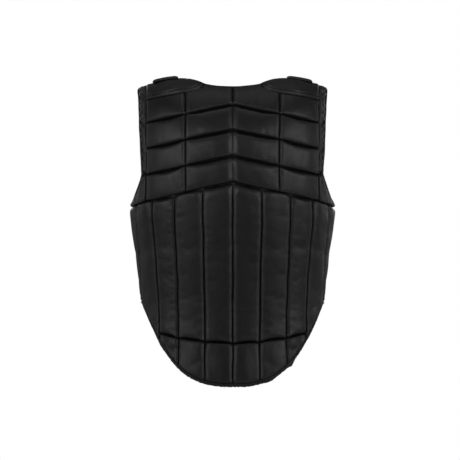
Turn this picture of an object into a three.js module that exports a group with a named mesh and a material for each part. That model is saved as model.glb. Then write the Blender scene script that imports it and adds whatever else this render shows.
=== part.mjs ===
import * as THREE from 'three';

// Equestrian body protector, shaped as it is worn: a quilted foam vest with a dropped tail.
// Millimetres, +Z up. The back faces -Y and the wearer's right is +X. The origin lies midway between
// the shoulders, level with the underside of the shoulder pads.

// Driving sizes of the whole vest
const CHEST_WIDTH = 398; // outside width under the arms
const BACK_DEPTH = 150; // from the side seams to the outermost point of the back
const FRONT_DEPTH = 136; // from the side seams to the outermost point of the front
const HEM_DROP = 437; // top of the shoulders to the hem at the side seams
const TAIL_DROP = 155; // side hem to the tip of the tail
const FRONT_RISE = 20; // how much the hem rises from the side seams to the front closure

// Driving sizes of the padding
const PAD = 21; // thickness of a padded block at its crown
const GROOVE = 6; // how far a sewn seam lies below the crowns
const ROLL = 10; // width over which a block rounds down to its seam
const SPANS = {
  cap: 90,
  channel: 57,
  sideChannel: 80,
  frontChannel: 85,
  channelLength: 290,
  tailBlock: 55,
  tailLength: 80,
  frontShoulder: 95,
  frontShoulderLength: 120,
  chest: 58,
  lastChest: 220,
}; // rough widths and heights of the blocks, against which their rounded edges are spaced
const GAP = 0.4; // clearance between neighbouring pieces
const BINDING = 5; // height of the tape that binds an edge

// Driving sizes of the back yoke
const ROWS = 4;
const ROW_PITCH = 50.8; // height of one row of blocks
const FIRST_ROW = 52; // top of the shoulders to the first chevron seam, at the centre seam
const CHEVRON = THREE.MathUtils.degToRad(12.3); // fall of the chevron seams from the centre seam
const COLUMN = 92; // centre seam to the seam between the two columns of blocks
const YOKE_HALF = 170; // centre seam to the armhole seam
const BAND_TOP = 17; // armhole band, seam to edge, seen from behind at the shoulder
const BAND_FOOT = 9; // the same at the foot of the band

// Driving sizes of the neck and shoulders
const NECK_HALF = 54; // centre seam to the inner end of the shoulder seam
const NECK_DROP = 21; // top of the shoulders to the back neckline, at the centre seam
const NECK_DIP = 4; // rise of the back neckline from the centre seam to the shoulder seam
const STRAP_IN = 86; // centre to the neck edge of a shoulder pad, at its top
const SHOULDER_FLAT = 95; // centre to where the shoulder line begins to fall
const SHOULDER_FALL = 13.5; // fall of the shoulder line out to the armhole seam
const CAP_DROP = 44.5; // top of the shoulders to the shoulder seam, at the armhole seam

// Driving sizes of the armholes
const UNDERARM_DROP = 254; // top of the shoulders to the head of the side channels
const UNDERARM_STRIP = 5; // height of the strip left under the armhole
const SIDE_TURN = THREE.MathUtils.degToRad(9); // how far the channels' side seam lies in front of the side
const ARMHOLE_FLARE = 1.7; // 1 is a straight run out to the side seam, more is rounder

// Driving sizes of the tail
const TAIL_SEAM_DROP = 513; // top of the shoulders to the seam above the tail, at the centre seam
const TAIL_SEAM_RISE = 18; // rise of that seam out to the end of the tail blocks
const TAIL_FULLNESS = 2.85; // 2 is a parabola, more is squarer

// Driving sizes of the front, which is closed down its middle
const ZIP_HALF = 10;
const ZIP_THICKNESS = 4;
const CHEST_ROWS = 3;
const CHEST_DROP = 81; // top of the shoulders to the seam above the chest blocks
const FRONT_NECK_HALF = 72; // centre to the neck edge where a shoulder pad ends
const FRONT_NECK_DROP = 103; // top of the shoulders to the front neckline, at the closure
const FRONT_ARM = 164; // centre to the front armhole edge

// Driving sizes of the shoulder tabs
const TAB_MIDDLE = 130; // centre to the middle of a tab
const TAB_WIDTH = 50;
const TAB_THICKNESS = 4;
const TAB_SEAT = 0.7; // clearance between a tab and the crowns under it
const TAB_REACH = { back: 0.28, front: 0.5 }; // shares of the shoulder vault's depth that a tab covers

// The trunk, from the top of the shoulders to the tip of the tail: shares of the vest's length,
// of half the chest width, and of the back and front depths.
const TRUNK = [
  { down: 0.0, width: 0.955, back: 0.94, front: 0.93 },
  { down: 0.27, width: 0.998, back: 1.0, front: 0.98 },
  { down: 0.42, width: 1.01, back: 0.985, front: 1.0 },
  { down: 0.58, width: 0.951, back: 0.925, front: 0.95 },
  { down: 0.73, width: 0.905, back: 0.87, front: 0.89 },
  { down: 0.87, width: 0.894, back: 0.88, front: 0.88 },
  { down: 1.0, width: 0.9, back: 0.93, front: 0.88 },
];

// The channel seams from the centre back to the side: shares of half the width, at the underarm
// and at the side hem.
const BACK_SEAMS = [
  { head: 0, foot: 0 },
  { head: 0.289, foot: 0.303 },
  { head: 0.57, foot: 0.595 },
  { head: 0.79, foot: 0.81 },
  { head: 0.945, foot: 0.99 },
];
const SIDE_SEAM = BACK_SEAMS.length;
const FRONT_SEAMS = [0.82, 0.45]; // shares of half the width, from the side seam to the closure
const CLOSURE = SIDE_SEAM + FRONT_SEAMS.length + 1;

// The shoulder seam from the neck to the armhole seam: shares of the yoke's half width and of CAP_DROP
const SHOULDER_SEAM = [
  { out: NECK_HALF / YOKE_HALF, drop: 0.38 },
  { out: COLUMN / YOKE_HALF, drop: 0.667 },
  { out: 1, drop: 1 },
];

const TOP = PAD;
const BACK_LENGTH = HEM_DROP + TAIL_DROP;
const UNDERARM = TOP - UNDERARM_DROP;
const SIDE_HEM = TOP - HEM_DROP;
const SQUARENESS = 2.25; // 2 is an ellipse
const VAULT = { rise: 3.2, run: 2.3, back: 0.29, front: 0.24 }; // shape and springing of the shoulder vault

const { lerp, clamp } = THREE.MathUtils;
const RIGHT_ANGLE = Math.PI / 2;

const COVER = { color: 0x1d1d1f, roughness: 0.55, metalness: 0 };
const TAPE = { color: 0x121213, roughness: 0.85, metalness: 0 };
const WEBBING = { color: 0x0e0e0f, roughness: 0.9, metalness: 0 };
const ZIPPER = { color: 0x161617, roughness: 0.5, metalness: 0 };

// The trunk's half width and depths at a height
const curves = Object.fromEntries(
  ['width', 'back', 'front'].map((name) => [
    name,
    new THREE.CubicInterpolant(
      TRUNK.map((row) => row.down),
      TRUNK.map((row) => row[name]),
      1,
    ),
  ]),
);

function trunk(z) {
  const down = clamp((TOP - z) / BACK_LENGTH, 0, 1);
  return {
    half: (curves.width.evaluate(down)[0] * CHEST_WIDTH) / 2,
    back: curves.back.evaluate(down)[0] * BACK_DEPTH,
    front: curves.front.evaluate(down)[0] * FRONT_DEPTH,
  };
}

function shoulderLine(x) {
  const out = Math.max(0, (Math.abs(x) - SHOULDER_FLAT) / (YOKE_HALF - SHOULDER_FLAT));
  return TOP - SHOULDER_FALL * out ** 2;
}

function springing(side) {
  return TOP - BACK_LENGTH * VAULT[side];
}

// How much of its full depth the trunk has left where it closes over the shoulders
function vault(x, z, side) {
  const foot = springing(side);
  const up = clamp((z - foot) / (shoulderLine(x) - foot), 0, 1);
  return (1 - up ** VAULT.rise) ** (1 / VAULT.run);
}

function depthAt(x, z, side) {
  const section = trunk(z);
  const out = Math.min(1, Math.abs(x) / section.half);
  return section[side] * (1 - out ** SQUARENESS) ** (1 / SQUARENESS);
}

// The angle round the trunk from the centre back, a right angle being the side seam
function angleOf(x, z, side) {
  const depth = depthAt(x, z, side);
  return Math.atan2(x, side === 'back' ? depth : -depth);
}

function onTrunk(angle, z) {
  const side = angle <= RIGHT_ANGLE ? 'back' : 'front';
  const section = trunk(z);
  const across = Math.abs(Math.sin(angle)) / section.half;
  const along = Math.abs(Math.cos(angle)) / section[side];
  const radius = (across ** SQUARENESS + along ** SQUARENESS) ** (-1 / SQUARENESS);
  const x = radius * Math.sin(angle);
  return new THREE.Vector3(x, -radius * Math.cos(angle) * vault(x, z, side), z);
}

// Over the shoulder: lean is 0 along the top, towards 1 down the back and towards -1 down the front
function onShoulder(x, lean) {
  const side = lean > 0 ? 'back' : 'front';
  const foot = springing(side);
  const up = (1 - Math.abs(lean) ** VAULT.run) ** (1 / VAULT.rise);
  const z = lerp(foot, shoulderLine(x), up);
  return new THREE.Vector3(x, -depthAt(x, z, side) * lean, z);
}

function leanOf(x, z, side) {
  return vault(x, z, side) * (side === 'back' ? 1 : -1);
}

// A point of the skin with its outward direction
function lay(surface, a, b, stepA, stepB) {
  const at = surface(a, b);
  const alongA = surface(a + stepA, b).sub(surface(a - stepA, b));
  const alongB = surface(a, b + stepB).sub(surface(a, b - stepB));
  const out = alongA.cross(alongB).normalize();
  const middle = new THREE.Vector3(0, 0, Math.min(at.z, springing('back')));
  if (at.clone().sub(middle).dot(out) < 0) out.negate();
  return { at, out };
}

const layTrunk = (angle, z) => lay(onTrunk, angle, z, 0.002, 0.5);
const layShoulder = (x, lean) => lay(onShoulder, x, lean, 0.5, 0.004);
const layBack = (x, z) => layTrunk(angleOf(x, z, 'back'), z);
const layFront = (x, z) => layTrunk(angleOf(x, z, 'front'), z);

// Seam lines
function chevron(row, x) {
  return TOP - FIRST_ROW - row * ROW_PITCH - Math.abs(x) * Math.tan(CHEVRON);
}

function shoulderSeam(x) {
  const out = x / YOKE_HALF;
  const next = clamp(SHOULDER_SEAM.findIndex((row) => row.out >= out), 1, SHOULDER_SEAM.length - 1);
  const [a, b] = [SHOULDER_SEAM[next - 1], SHOULDER_SEAM[next]];
  return TOP - CAP_DROP * lerp(a.drop, b.drop, (out - a.out) / (b.out - a.out));
}

function yokeTop(x) {
  const seamEnd = shoulderSeam(NECK_HALF);
  const centre = Math.min(TOP - NECK_DROP, seamEnd - NECK_DIP / 2);
  return x < NECK_HALF ? lerp(centre, seamEnd, (x / NECK_HALF) ** 2) : shoulderSeam(x);
}

// Foot of the yoke: the last chevron, run on from the armhole seam to the side seam
function yokeFoot(angle, z) {
  const x = onTrunk(angle, z).x;
  if (angle < RIGHT_ANGLE && x <= YOKE_HALF) return chevron(ROWS - 1, x);
  const start = chevron(ROWS - 1, YOKE_HALF);
  const corner = angleOf(YOKE_HALF, start, 'back');
  return lerp(start, UNDERARM, clamp((angle - corner) / (RIGHT_ANGLE - corner), 0, 1));
}

function seamAngle(seam, z) {
  if (seam === SIDE_SEAM) return RIGHT_ANGLE + SIDE_TURN;
  if (seam === CLOSURE) return angleOf(ZIP_HALF, z, 'front');
  const half = trunk(z).half;
  if (seam > SIDE_SEAM) return angleOf(FRONT_SEAMS[seam - SIDE_SEAM - 1] * half, z, 'front');
  const { head, foot } = BACK_SEAMS[seam];
  const down = clamp((UNDERARM - z) / (UNDERARM - SIDE_HEM), 0, 1);
  return angleOf(lerp(head, foot, down) * half, z, 'back');
}

// The angle of a place between two channel seams
function channelAngle(place, z) {
  const seam = Math.min(Math.floor(place), CLOSURE - 1);
  return lerp(seamAngle(seam, z), seamAngle(seam + 1, z), place - seam);
}

function tailSeam(angle, z) {
  const end = onTrunk(seamAngle(3, SIDE_HEM), SIDE_HEM).x;
  return TOP - TAIL_SEAM_DROP + TAIL_SEAM_RISE * (onTrunk(angle, z).x / end) ** 2;
}

function hem(angle, z) {
  if (angle > RIGHT_ANGLE) return SIDE_HEM + FRONT_RISE * Math.cos(angle) ** 2;
  const tailHalf = onTrunk(seamAngle(SIDE_SEAM - 1, SIDE_HEM), SIDE_HEM).x;
  const out = Math.min(1, onTrunk(angle, z).x / tailHalf);
  return SIDE_HEM - TAIL_DROP * (1 - out ** TAIL_FULLNESS);
}

// Where a place between the channel seams meets a line across them
function crossing(place, line) {
  let z = UNDERARM;
  for (let round = 0; round < 12; round++) z = line(channelAngle(place, z), z);
  return z;
}

function layChannel(place, head, foot, v) {
  const z = lerp(crossing(place, head), crossing(place, foot), v);
  return layTrunk(channelAngle(place, z), z);
}

// Fractions of a width: its rounded edges, and a few steps between them
function steps(width, middle) {
  const edge = Math.min(ROLL / width, 0.3);
  const inner = Array.from({ length: middle + 1 }, (_, i) => lerp(edge, 1 - edge, i / middle));
  return [0, ...inner, 1];
}

// One padded block: a crowned outer face, an inner face one thickness below it, and walls between.
// spot(u, v) lies on the skin, u running round from the centre back and v running down.
function padGeometry(spot, us, vs, { crown = 0, inner = -PAD, groove = GROOVE } = {}) {
  const width = (v) => spot(0, v).at.distanceTo(spot(0.5, v).at) + spot(0.5, v).at.distanceTo(spot(1, v).at);
  const height = (u) => spot(u, 0).at.distanceTo(spot(u, 0.5).at) + spot(u, 0.5).at.distanceTo(spot(u, 1).at);
  const widths = vs.map(width);
  const heights = us.map(height);
  const inset = (t, length) => lerp(GAP / 2 / length, 1 - GAP / 2 / length, t);
  const positions = [];
  for (const outer of [true, false]) {
    vs.forEach((v, j) => {
      us.forEach((u, i) => {
        const { at, out } = spot(inset(u, widths[j]), inset(v, heights[i]));
        const edge = Math.min(Math.min(u, 1 - u) * widths[j], Math.min(v, 1 - v) * heights[i]);
        const height = outer ? crown - groove * (1 - Math.min(1, edge / ROLL)) : inner;
        positions.push(...at.addScaledVector(out, height).toArray());
      });
    });
  }
  const columns = us.length;
  const rows = vs.length;
  const under = columns * rows;
  const index = [];
  const quad = (a, b, c, d) => index.push(a, b, c, a, c, d);
  for (let j = 0; j < rows - 1; j++) {
    for (let i = 0; i < columns - 1; i++) {
      const a = j * columns + i;
      quad(a, a + columns, a + columns + 1, a + 1);
      quad(under + a, under + a + 1, under + a + columns + 1, under + a + columns);
    }
  }
  const last = (rows - 1) * columns;
  for (let i = 0; i < columns - 1; i++) {
    quad(i, i + 1, under + i + 1, under + i);
    quad(last + i, under + last + i, under + last + i + 1, last + i + 1);
  }
  for (let j = 0; j < rows - 1; j++) {
    const a = j * columns;
    const b = a + columns - 1;
    quad(a, under + a, under + a + columns, a + columns);
    quad(b, b + columns, under + b + columns, under + b);
  }
  return closedGeometry(positions, index);
}

function closedGeometry(positions, index) {
  const geometry = new THREE.BufferGeometry();
  geometry.setAttribute('position', new THREE.Float32BufferAttribute(positions, 3));
  geometry.setIndex(index);
  geometry.computeVertexNormals();
  return geometry;
}

function mirrored(geometry) {
  const copy = geometry.clone();
  copy.scale(-1, 1, 1);
  const index = Array.from(copy.getIndex().array);
  for (let i = 0; i < index.length; i += 3) [index[i + 1], index[i + 2]] = [index[i + 2], index[i + 1]];
  copy.setIndex(index);
  copy.computeVertexNormals();
  return copy;
}

// The tape's section: how far it stands off the edge, and how deep it lies below the skin
const TAPE_SECTION = [
  { off: 0.12, deep: 0.24 },
  { off: 0.7, deep: 0.28 },
  { off: 1, deep: 0.42 },
  { off: 1, deep: 0.78 },
  { off: 0.6, deep: 0.94 },
  { off: 0.12, deep: 1 },
];

// A tape along an edge of the vest, given as spots of the skin; turn is 1 where the vest lies to the
// left of the path as seen from outside, and -1 where it lies to the right.
function tapeGeometry(path, closed, turn) {
  const spots = path.filter((spot, i) => i === 0 || spot.at.distanceTo(path[i - 1].at) > 1);
  if (closed && spots[0].at.distanceTo(spots.at(-1).at) < 1) spots.pop();
  const count = spots.length;
  const sides = TAPE_SECTION.length;
  const positions = [];
  spots.forEach(({ at, out }, i) => {
    const ahead = spots[closed ? (i + 1) % count : Math.min(i + 1, count - 1)].at;
    const behind = spots[closed ? (i + count - 1) % count : Math.max(i - 1, 0)].at;
    const away = ahead.clone().sub(behind).cross(out).normalize().multiplyScalar(turn);
    for (const { off, deep } of TAPE_SECTION) {
      const point = at.clone().addScaledVector(away, off * BINDING).addScaledVector(out, -deep * PAD);
      positions.push(...point.toArray());
    }
  });
  const index = [];
  const quad = (a, b, c, d) => (turn > 0 ? index.push(a, b, c, a, c, d) : index.push(a, c, b, a, d, c));
  for (let i = 0; i < (closed ? count : count - 1); i++) {
    const a = i * sides;
    const b = ((i + 1) % count) * sides;
    for (let k = 0; k < sides; k++) {
      const next = (k + 1) % sides;
      quad(a + k, a + next, b + next, b + k);
    }
  }
  if (!closed) {
    const end = (count - 1) * sides;
    for (let k = 1; k < sides - 1; k++) {
      if (turn > 0) index.push(0, k + 1, k, end, end + k, end + k + 1);
      else index.push(0, k, k + 1, end, end + k + 1, end + k);
    }
  }
  return closedGeometry(positions, index);
}

const vest = new THREE.Group();

function add(name, geometry, look) {
  const mesh = new THREE.Mesh(geometry, new THREE.MeshStandardMaterial(look));
  mesh.name = name;
  vest.add(mesh);
}

function addPair(name, geometry, look) {
  add(`${name}_right`, geometry, look);
  add(`${name}_left`, mirrored(geometry), look);
}

// Back yoke: rows of blocks in two columns each side of the centre seam
const INNER_STEPS = [0, ROLL, NECK_HALF, COLUMN - ROLL, COLUMN].map((x) => x / COLUMN);
const OUTER_STEPS = steps(YOKE_HALF - COLUMN, 2);
const ROW_STEPS = steps(ROW_PITCH, 1);
const rowTop = (row, x) => (row === 0 ? yokeTop(x) : chevron(row - 1, x));
const yokeSpot = (from, to, row) => (u, v) => {
  const x = lerp(from, to, u);
  return layBack(x, lerp(rowTop(row, x), chevron(row, x), v));
};
for (let row = 0; row < ROWS; row++) {
  addPair(`yoke_row${row + 1}_inner`, padGeometry(yokeSpot(0, COLUMN, row), INNER_STEPS, ROW_STEPS), COVER);
  addPair(`yoke_row${row + 1}_outer`, padGeometry(yokeSpot(COLUMN, YOKE_HALF, row), OUTER_STEPS, ROW_STEPS), COVER);
}

// Shoulder caps: from the shoulder seam up the back of the shoulder to its top
const neckEdge = (v) => lerp(STRAP_IN, NECK_HALF, v ** 2);
const capSpot = (u, v) => {
  const foot = lerp(NECK_HALF, YOKE_HALF, u);
  const x = lerp(neckEdge(v), YOKE_HALF, u);
  return layShoulder(x, leanOf(foot, shoulderSeam(foot), 'back') * v);
};
const CAP_STEPS = [
  ...INNER_STEPS.slice(2).map((u) => u * COLUMN),
  ...OUTER_STEPS.slice(1).map((u) => lerp(COLUMN, YOKE_HALF, u)),
].map((x) => (x - NECK_HALF) / (YOKE_HALF - NECK_HALF));
const VAULT_STEPS = steps(SPANS.cap, 3);
addPair('shoulder_cap', padGeometry(capSpot, CAP_STEPS, VAULT_STEPS), COVER);

// Armhole bands: beside the cap, then beside the rows down to the last one
const bandWidth = (v) => lerp(BAND_TOP, BAND_FOOT, v);
const BAND_ROWS = ROWS - 1;
const bandSpot = (u, v) => {
  const part = v * (BAND_ROWS + 1);
  const x = YOKE_HALF + bandWidth(v) * u;
  if (part < 1) return layShoulder(x, leanOf(YOKE_HALF, shoulderSeam(YOKE_HALF), 'back') * part);
  const row = Math.min(Math.floor(part - 1), BAND_ROWS - 1);
  return layBack(x, lerp(rowTop(row, YOKE_HALF), chevron(row, YOKE_HALF), part - 1 - row));
};
const BAND_STEPS = [
  ...VAULT_STEPS,
  ...Array.from({ length: BAND_ROWS }, (_, row) => ROW_STEPS.slice(1).map((v) => v + row + 1)).flat(),
].map((part) => part / (BAND_ROWS + 1));
addPair('armhole_band', padGeometry(bandSpot, [0, 0.5, 1], BAND_STEPS), COVER);

// Underarm gussets: from the foot of the band out to the side seam, over the side channels
const flare = (from, to, out) => lerp(to, from, out ** ARMHOLE_FLARE);
const armholeLow = UNDERARM + UNDERARM_STRIP;
const bandFoot = chevron(BAND_ROWS - 1, YOKE_HALF);
const bandFootAngle = angleOf(YOKE_HALF + BAND_FOOT, bandFoot, 'back');
const gussetSpot = (u, v) => {
  const edgeAngle = lerp(bandFootAngle, RIGHT_ANGLE, v);
  const edgeHeight = flare(bandFoot, armholeLow, 1 - v);
  const beside = lerp(bandFoot, chevron(ROWS - 1, YOKE_HALF), Math.min(1, v * 2));
  const corner = angleOf(YOKE_HALF, beside, 'back');
  const seam = lerp(corner, RIGHT_ANGLE, Math.max(0, v * 2 - 1));
  const seamHeight = v < 0.5 ? beside : yokeFoot(seam, beside);
  return layTrunk(lerp(seam, edgeAngle, u), lerp(seamHeight, edgeHeight, u));
};
const GUSSET_STEPS = [...ROW_STEPS.map((v) => v / 2), 0.67, 0.83, 1];
addPair('underarm_gusset', padGeometry(gussetSpot, [0, 0.5, 1], GUSSET_STEPS), COVER);

// Channels: long upright blocks from the foot of the yoke round to the closure
const CHANNEL_STEPS = steps(SPANS.channel, 1);
const lastBackSeam = seamAngle(SIDE_SEAM - 1, UNDERARM);
const sideShare = (RIGHT_ANGLE - lastBackSeam) / (RIGHT_ANGLE + SIDE_TURN - lastBackSeam);
const SIDE_STEPS = [0, ROLL / SPANS.sideChannel, sideShare, 1 - ROLL / SPANS.sideChannel, 1];
const FRONT_STEPS = steps(SPANS.frontChannel, 2);
function channelAcross(seam) {
  if (seam < SIDE_SEAM - 1) return CHANNEL_STEPS;
  return seam < SIDE_SEAM ? SIDE_STEPS : FRONT_STEPS;
}
const LONG_STEPS = steps(SPANS.channelLength, 5);
const footOf = (seam) => (seam < 3 ? tailSeam : hem);
const channelSpot = (seam) => (u, v) => layChannel(seam + u, yokeFoot, footOf(seam), v);
for (let seam = 0; seam < CLOSURE; seam++) {
  const name = seam < SIDE_SEAM ? `back_channel${seam + 1}` : `front_channel${CLOSURE - seam}`;
  addPair(name, padGeometry(channelSpot(seam), channelAcross(seam), LONG_STEPS), COVER);
}

// Tail: blocks that carry on the middle channels to the rounded hem
const TAIL_STEPS = steps(SPANS.tailLength, 2);
const tailAcross = (seam) => (seam === 0 ? CHANNEL_STEPS : steps(SPANS.tailBlock, 2));
for (let seam = 0; seam < 3; seam++) {
  const spot = (u, v) => layChannel(seam + u, tailSeam, hem, v);
  addPair(`tail_block${seam + 1}`, padGeometry(spot, tailAcross(seam), TAIL_STEPS), COVER);
}

// Front: shoulder pads down to the chest seam, then rows of chest blocks down to the channels
const chestSeam = TOP - CHEST_DROP;
const chestLine = (row) => lerp(chestSeam, UNDERARM, row / CHEST_ROWS);
const frontShoulderSpot = (u, v) => {
  const armEdge = lerp(YOKE_HALF + BAND_TOP, FRONT_ARM, v);
  const x = lerp(armEdge, lerp(STRAP_IN, FRONT_NECK_HALF, v), u);
  const foot = lerp(FRONT_ARM, FRONT_NECK_HALF, u);
  return layShoulder(x, leanOf(foot, chestSeam, 'front') * v);
};
const FRONT_SHOULDER_STEPS = steps(SPANS.frontShoulderLength, 5);
addPair('front_shoulder', padGeometry(frontShoulderSpot, steps(SPANS.frontShoulder, 2), FRONT_SHOULDER_STEPS), COVER);

const frontNeck = (x) => {
  const out = (x - ZIP_HALF) / (FRONT_NECK_HALF - ZIP_HALF);
  return out < 1 ? lerp(TOP - FRONT_NECK_DROP, chestSeam, out ** 2) : chestSeam;
};
const LAST_EDGE = 0.9; // share of the last block's outer side that follows the armhole
const chestSpot = (row) => (u, v) => {
  const last = row === CHEST_ROWS - 1;
  const armHeight = lerp(chestLine(row), chestLine(row + 1), v);
  if (!last) {
    const x = lerp(FRONT_ARM, ZIP_HALF, u);
    const top = row === 0 ? frontNeck(x) : chestLine(row);
    return layFront(x, lerp(top, chestLine(row + 1), v));
  }
  const along = Math.min(1, v / LAST_EDGE);
  const outerAngle = lerp(angleOf(FRONT_ARM, chestLine(row), 'front'), RIGHT_ANGLE, along);
  const below = Math.max(0, (v - LAST_EDGE) / (1 - LAST_EDGE));
  const outerHeight = lerp(flare(chestLine(row), armholeLow, 1 - along), UNDERARM, below);
  const closure = angleOf(ZIP_HALF, armHeight, 'front');
  return layTrunk(lerp(outerAngle, closure, u), lerp(outerHeight, armHeight, u));
};
const CHEST_STEPS = [0, ROLL, (FRONT_ARM - FRONT_NECK_HALF) / 2, FRONT_ARM - FRONT_NECK_HALF]
  .concat([FRONT_ARM - FRONT_NECK_HALF / 2, FRONT_ARM - ZIP_HALF - ROLL, FRONT_ARM - ZIP_HALF])
  .map((x) => x / (FRONT_ARM - ZIP_HALF));
const CHEST_DOWN = steps(SPANS.chest, 1);
const LAST_CHEST_DOWN = [0, 0.17, 0.5, 0.75, LAST_EDGE, 1];
for (let row = 0; row < CHEST_ROWS - 1; row++) {
  addPair(`chest_row${row + 1}`, padGeometry(chestSpot(row), CHEST_STEPS, CHEST_DOWN), COVER);
}
addPair(`chest_row${CHEST_ROWS}`, padGeometry(chestSpot(CHEST_ROWS - 1), steps(SPANS.lastChest, 6), LAST_CHEST_DOWN), COVER);

// Front closure: one plain strip between the two fronts, halfway through their thickness
const zipSpot = (u, v) => {
  const z = lerp(TOP - FRONT_NECK_DROP, hem(Math.PI, SIDE_HEM), v);
  const edge = seamAngle(CLOSURE, z);
  return layTrunk(lerp(edge, 2 * Math.PI - edge, u), z);
};
const ZIP_STEPS = Array.from({ length: 9 }, (_, i) => i / 8);
const zipLevels = { crown: (ZIP_THICKNESS - PAD) / 2, inner: (-ZIP_THICKNESS - PAD) / 2, groove: 0 };
add('front_zip', padGeometry(zipSpot, [0, 1], ZIP_STEPS, zipLevels), ZIPPER);

// Shoulder tabs: straps laid over the join between a shoulder cap and a front shoulder pad
const tabSpot = (u, v) => {
  const x = TAB_MIDDLE + TAB_WIDTH * (u - 0.5);
  return layShoulder(x, lerp(-TAB_REACH.front, TAB_REACH.back, v));
};
const TAB_STEPS = Array.from({ length: 11 }, (_, i) => i / 10);
const tabLevels = { crown: TAB_SEAT + TAB_THICKNESS, inner: TAB_SEAT, groove: 0 };
addPair('shoulder_tab', padGeometry(tabSpot, [0, 0.5, 1], TAB_STEPS, tabLevels), WEBBING);

// Bindings: tape round the hem, the neck and the armholes, through the same spots as the blocks
function bothSides(half) {
  const flip = ({ at, out }) => ({
    at: new THREE.Vector3(-at.x, at.y, at.z),
    out: new THREE.Vector3(-out.x, out.y, out.z),
  });
  return [...half.slice(1).reverse().map(flip), ...half];
}

const hemHalf = [];
for (let seam = 0; seam < CLOSURE; seam++) {
  const across = seam < 3 ? tailAcross(seam) : channelAcross(seam);
  for (const u of across) hemHalf.push(layChannel(seam + u, tailSeam, hem, 1));
}
add('hem_binding', tapeGeometry(bothSides(hemHalf), false, 1), TAPE);

const neckHalf = [
  ...INNER_STEPS.slice(0, 3).map((u) => yokeSpot(0, COLUMN, 0)(u, 0)),
  ...VAULT_STEPS.toReversed().map((v) => capSpot(0, v)),
  ...FRONT_SHOULDER_STEPS.map((v) => frontShoulderSpot(1, v)),
  ...CHEST_STEPS.slice(3).map((u) => chestSpot(0)(u, 0)),
];
add('neck_binding', tapeGeometry(bothSides(neckHalf), false, -1), TAPE);

const armholeLoop = [
  ...BAND_STEPS.map((v) => bandSpot(1, v)),
  ...GUSSET_STEPS.map((v) => gussetSpot(1, v)),
  ...LAST_CHEST_DOWN.slice(0, -1).toReversed().map((v) => chestSpot(CHEST_ROWS - 1)(0, v)),
  ...Array.from({ length: CHEST_ROWS - 1 }, (_, i) => chestSpot(CHEST_ROWS - 2 - i))
    .flatMap((spot) => CHEST_DOWN.toReversed().map((v) => spot(0, v))),
  ...FRONT_SHOULDER_STEPS.toReversed().map((v) => frontShoulderSpot(0, v)),
];
addPair('armhole_binding', tapeGeometry(armholeLoop, true, -1), TAPE);

export default vest;
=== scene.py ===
"""Black quilted riding body protector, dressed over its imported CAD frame, with its studio stage."""

import math

import bpy
import numpy as np
from bpy.props import FloatProperty, FloatVectorProperty, PointerProperty
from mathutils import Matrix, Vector


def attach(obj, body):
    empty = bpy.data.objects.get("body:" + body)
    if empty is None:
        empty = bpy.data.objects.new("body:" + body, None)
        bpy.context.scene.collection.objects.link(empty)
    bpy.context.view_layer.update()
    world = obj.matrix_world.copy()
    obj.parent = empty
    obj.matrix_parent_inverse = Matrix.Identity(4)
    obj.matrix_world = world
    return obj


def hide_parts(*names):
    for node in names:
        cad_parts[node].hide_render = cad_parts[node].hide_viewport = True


bl_info = {
    "name": "Riding Body Protector",
    "version": (1, 0, 0),
    "blender": (4, 5, 0),
    "location": "3D View > Sidebar > Vest",
    "description": "Quilted foam riding vest with a dropped tail, built over its CAD frame",
    "category": "Add Mesh",
}

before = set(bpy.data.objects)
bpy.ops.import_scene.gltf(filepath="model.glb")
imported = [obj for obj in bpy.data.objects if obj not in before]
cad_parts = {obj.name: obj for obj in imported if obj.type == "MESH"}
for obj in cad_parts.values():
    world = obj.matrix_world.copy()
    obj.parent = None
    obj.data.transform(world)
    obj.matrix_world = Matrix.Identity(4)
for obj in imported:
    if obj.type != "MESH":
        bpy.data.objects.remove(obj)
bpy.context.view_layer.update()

# The vest's surface is worked out in millimetres, as in the CAD source, and meshes are made in metres.
MM = 0.001
RIGHT_ANGLE = math.pi / 2

# Trunk and shoulders
PAD = 21.0  # thickness of a padded block
COVER_SHORT = 1.6  # how far short of the pad's inner face a cover stops, with the lining's faces beyond it
LINING_OUTER, LINING_INNER = 1.4, 0.1
TOP = PAD  # height of the shoulders above the mount
LENGTH = 592.0
HALF_CHEST = 199.0
BACK_DEPTH = 150.0
FRONT_DEPTH = 136.0
UNDERARM = -233.0
SQUARENESS = 2.25
RISE, RUN = 3.2, 2.3  # shape of the shoulder vault
SPRING_BACK = TOP - 0.29 * LENGTH
SPRING_FRONT = TOP - 0.24 * LENGTH
LEVEL_SHOULDER = 95.0  # centre to where the shoulder line starts to fall
SHOULDER_RUN = 75.0  # from there to its outer end
SHOULDER_FALL = 13.5  # its fall over that run

# Yoke; the shoulder seam is given by distances from the centre seam and shares of the cap's drop
COLUMN = 92.0
YOKE_HALF = 170.0
NECK_HALF = 54.0
NECK_MIDDLE = 3.0  # height of the back neckline at the centre seam
SECOND_LINE = 8.3  # how far above the shoulder seam its second row of stitching runs
YOKE_ROWS = 4
FIRST_ROW = 52.0
ROW_PITCH = 50.8
CHEVRON_SLOPE = math.tan(math.radians(12.3))
CAP_DROP = 44.5
SHOULDER_SEAM = ((NECK_HALF, 0.28), (58, 0.39), (63, 0.46), (75, 0.56), (COLUMN, 0.667), (YOKE_HALF, 1.0))

# Armholes
BAND_TOP, BAND_FOOT = 17.0, 7.0  # width of the armhole band at the shoulder and under the arm
BAND_LENGTH = 190.0
ROUNDING = 7.0  # how far the outer corner of each shoulder is drawn in
CORNER_SHARE = 0.08  # share of the band over which it is drawn in
ARMHOLE_LOW = UNDERARM + 5
FRONT_FLARE, GUSSET_FLARE = 1.7, 2.8  # 1 is a straight run out to the side seam, more is rounder

# Channels and tail; seams are counted from the centre back round to the zip
SIDE_SEAM = 5
CLOSURE = 8
SIDE_SEAM_TURN = math.radians(9)
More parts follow.
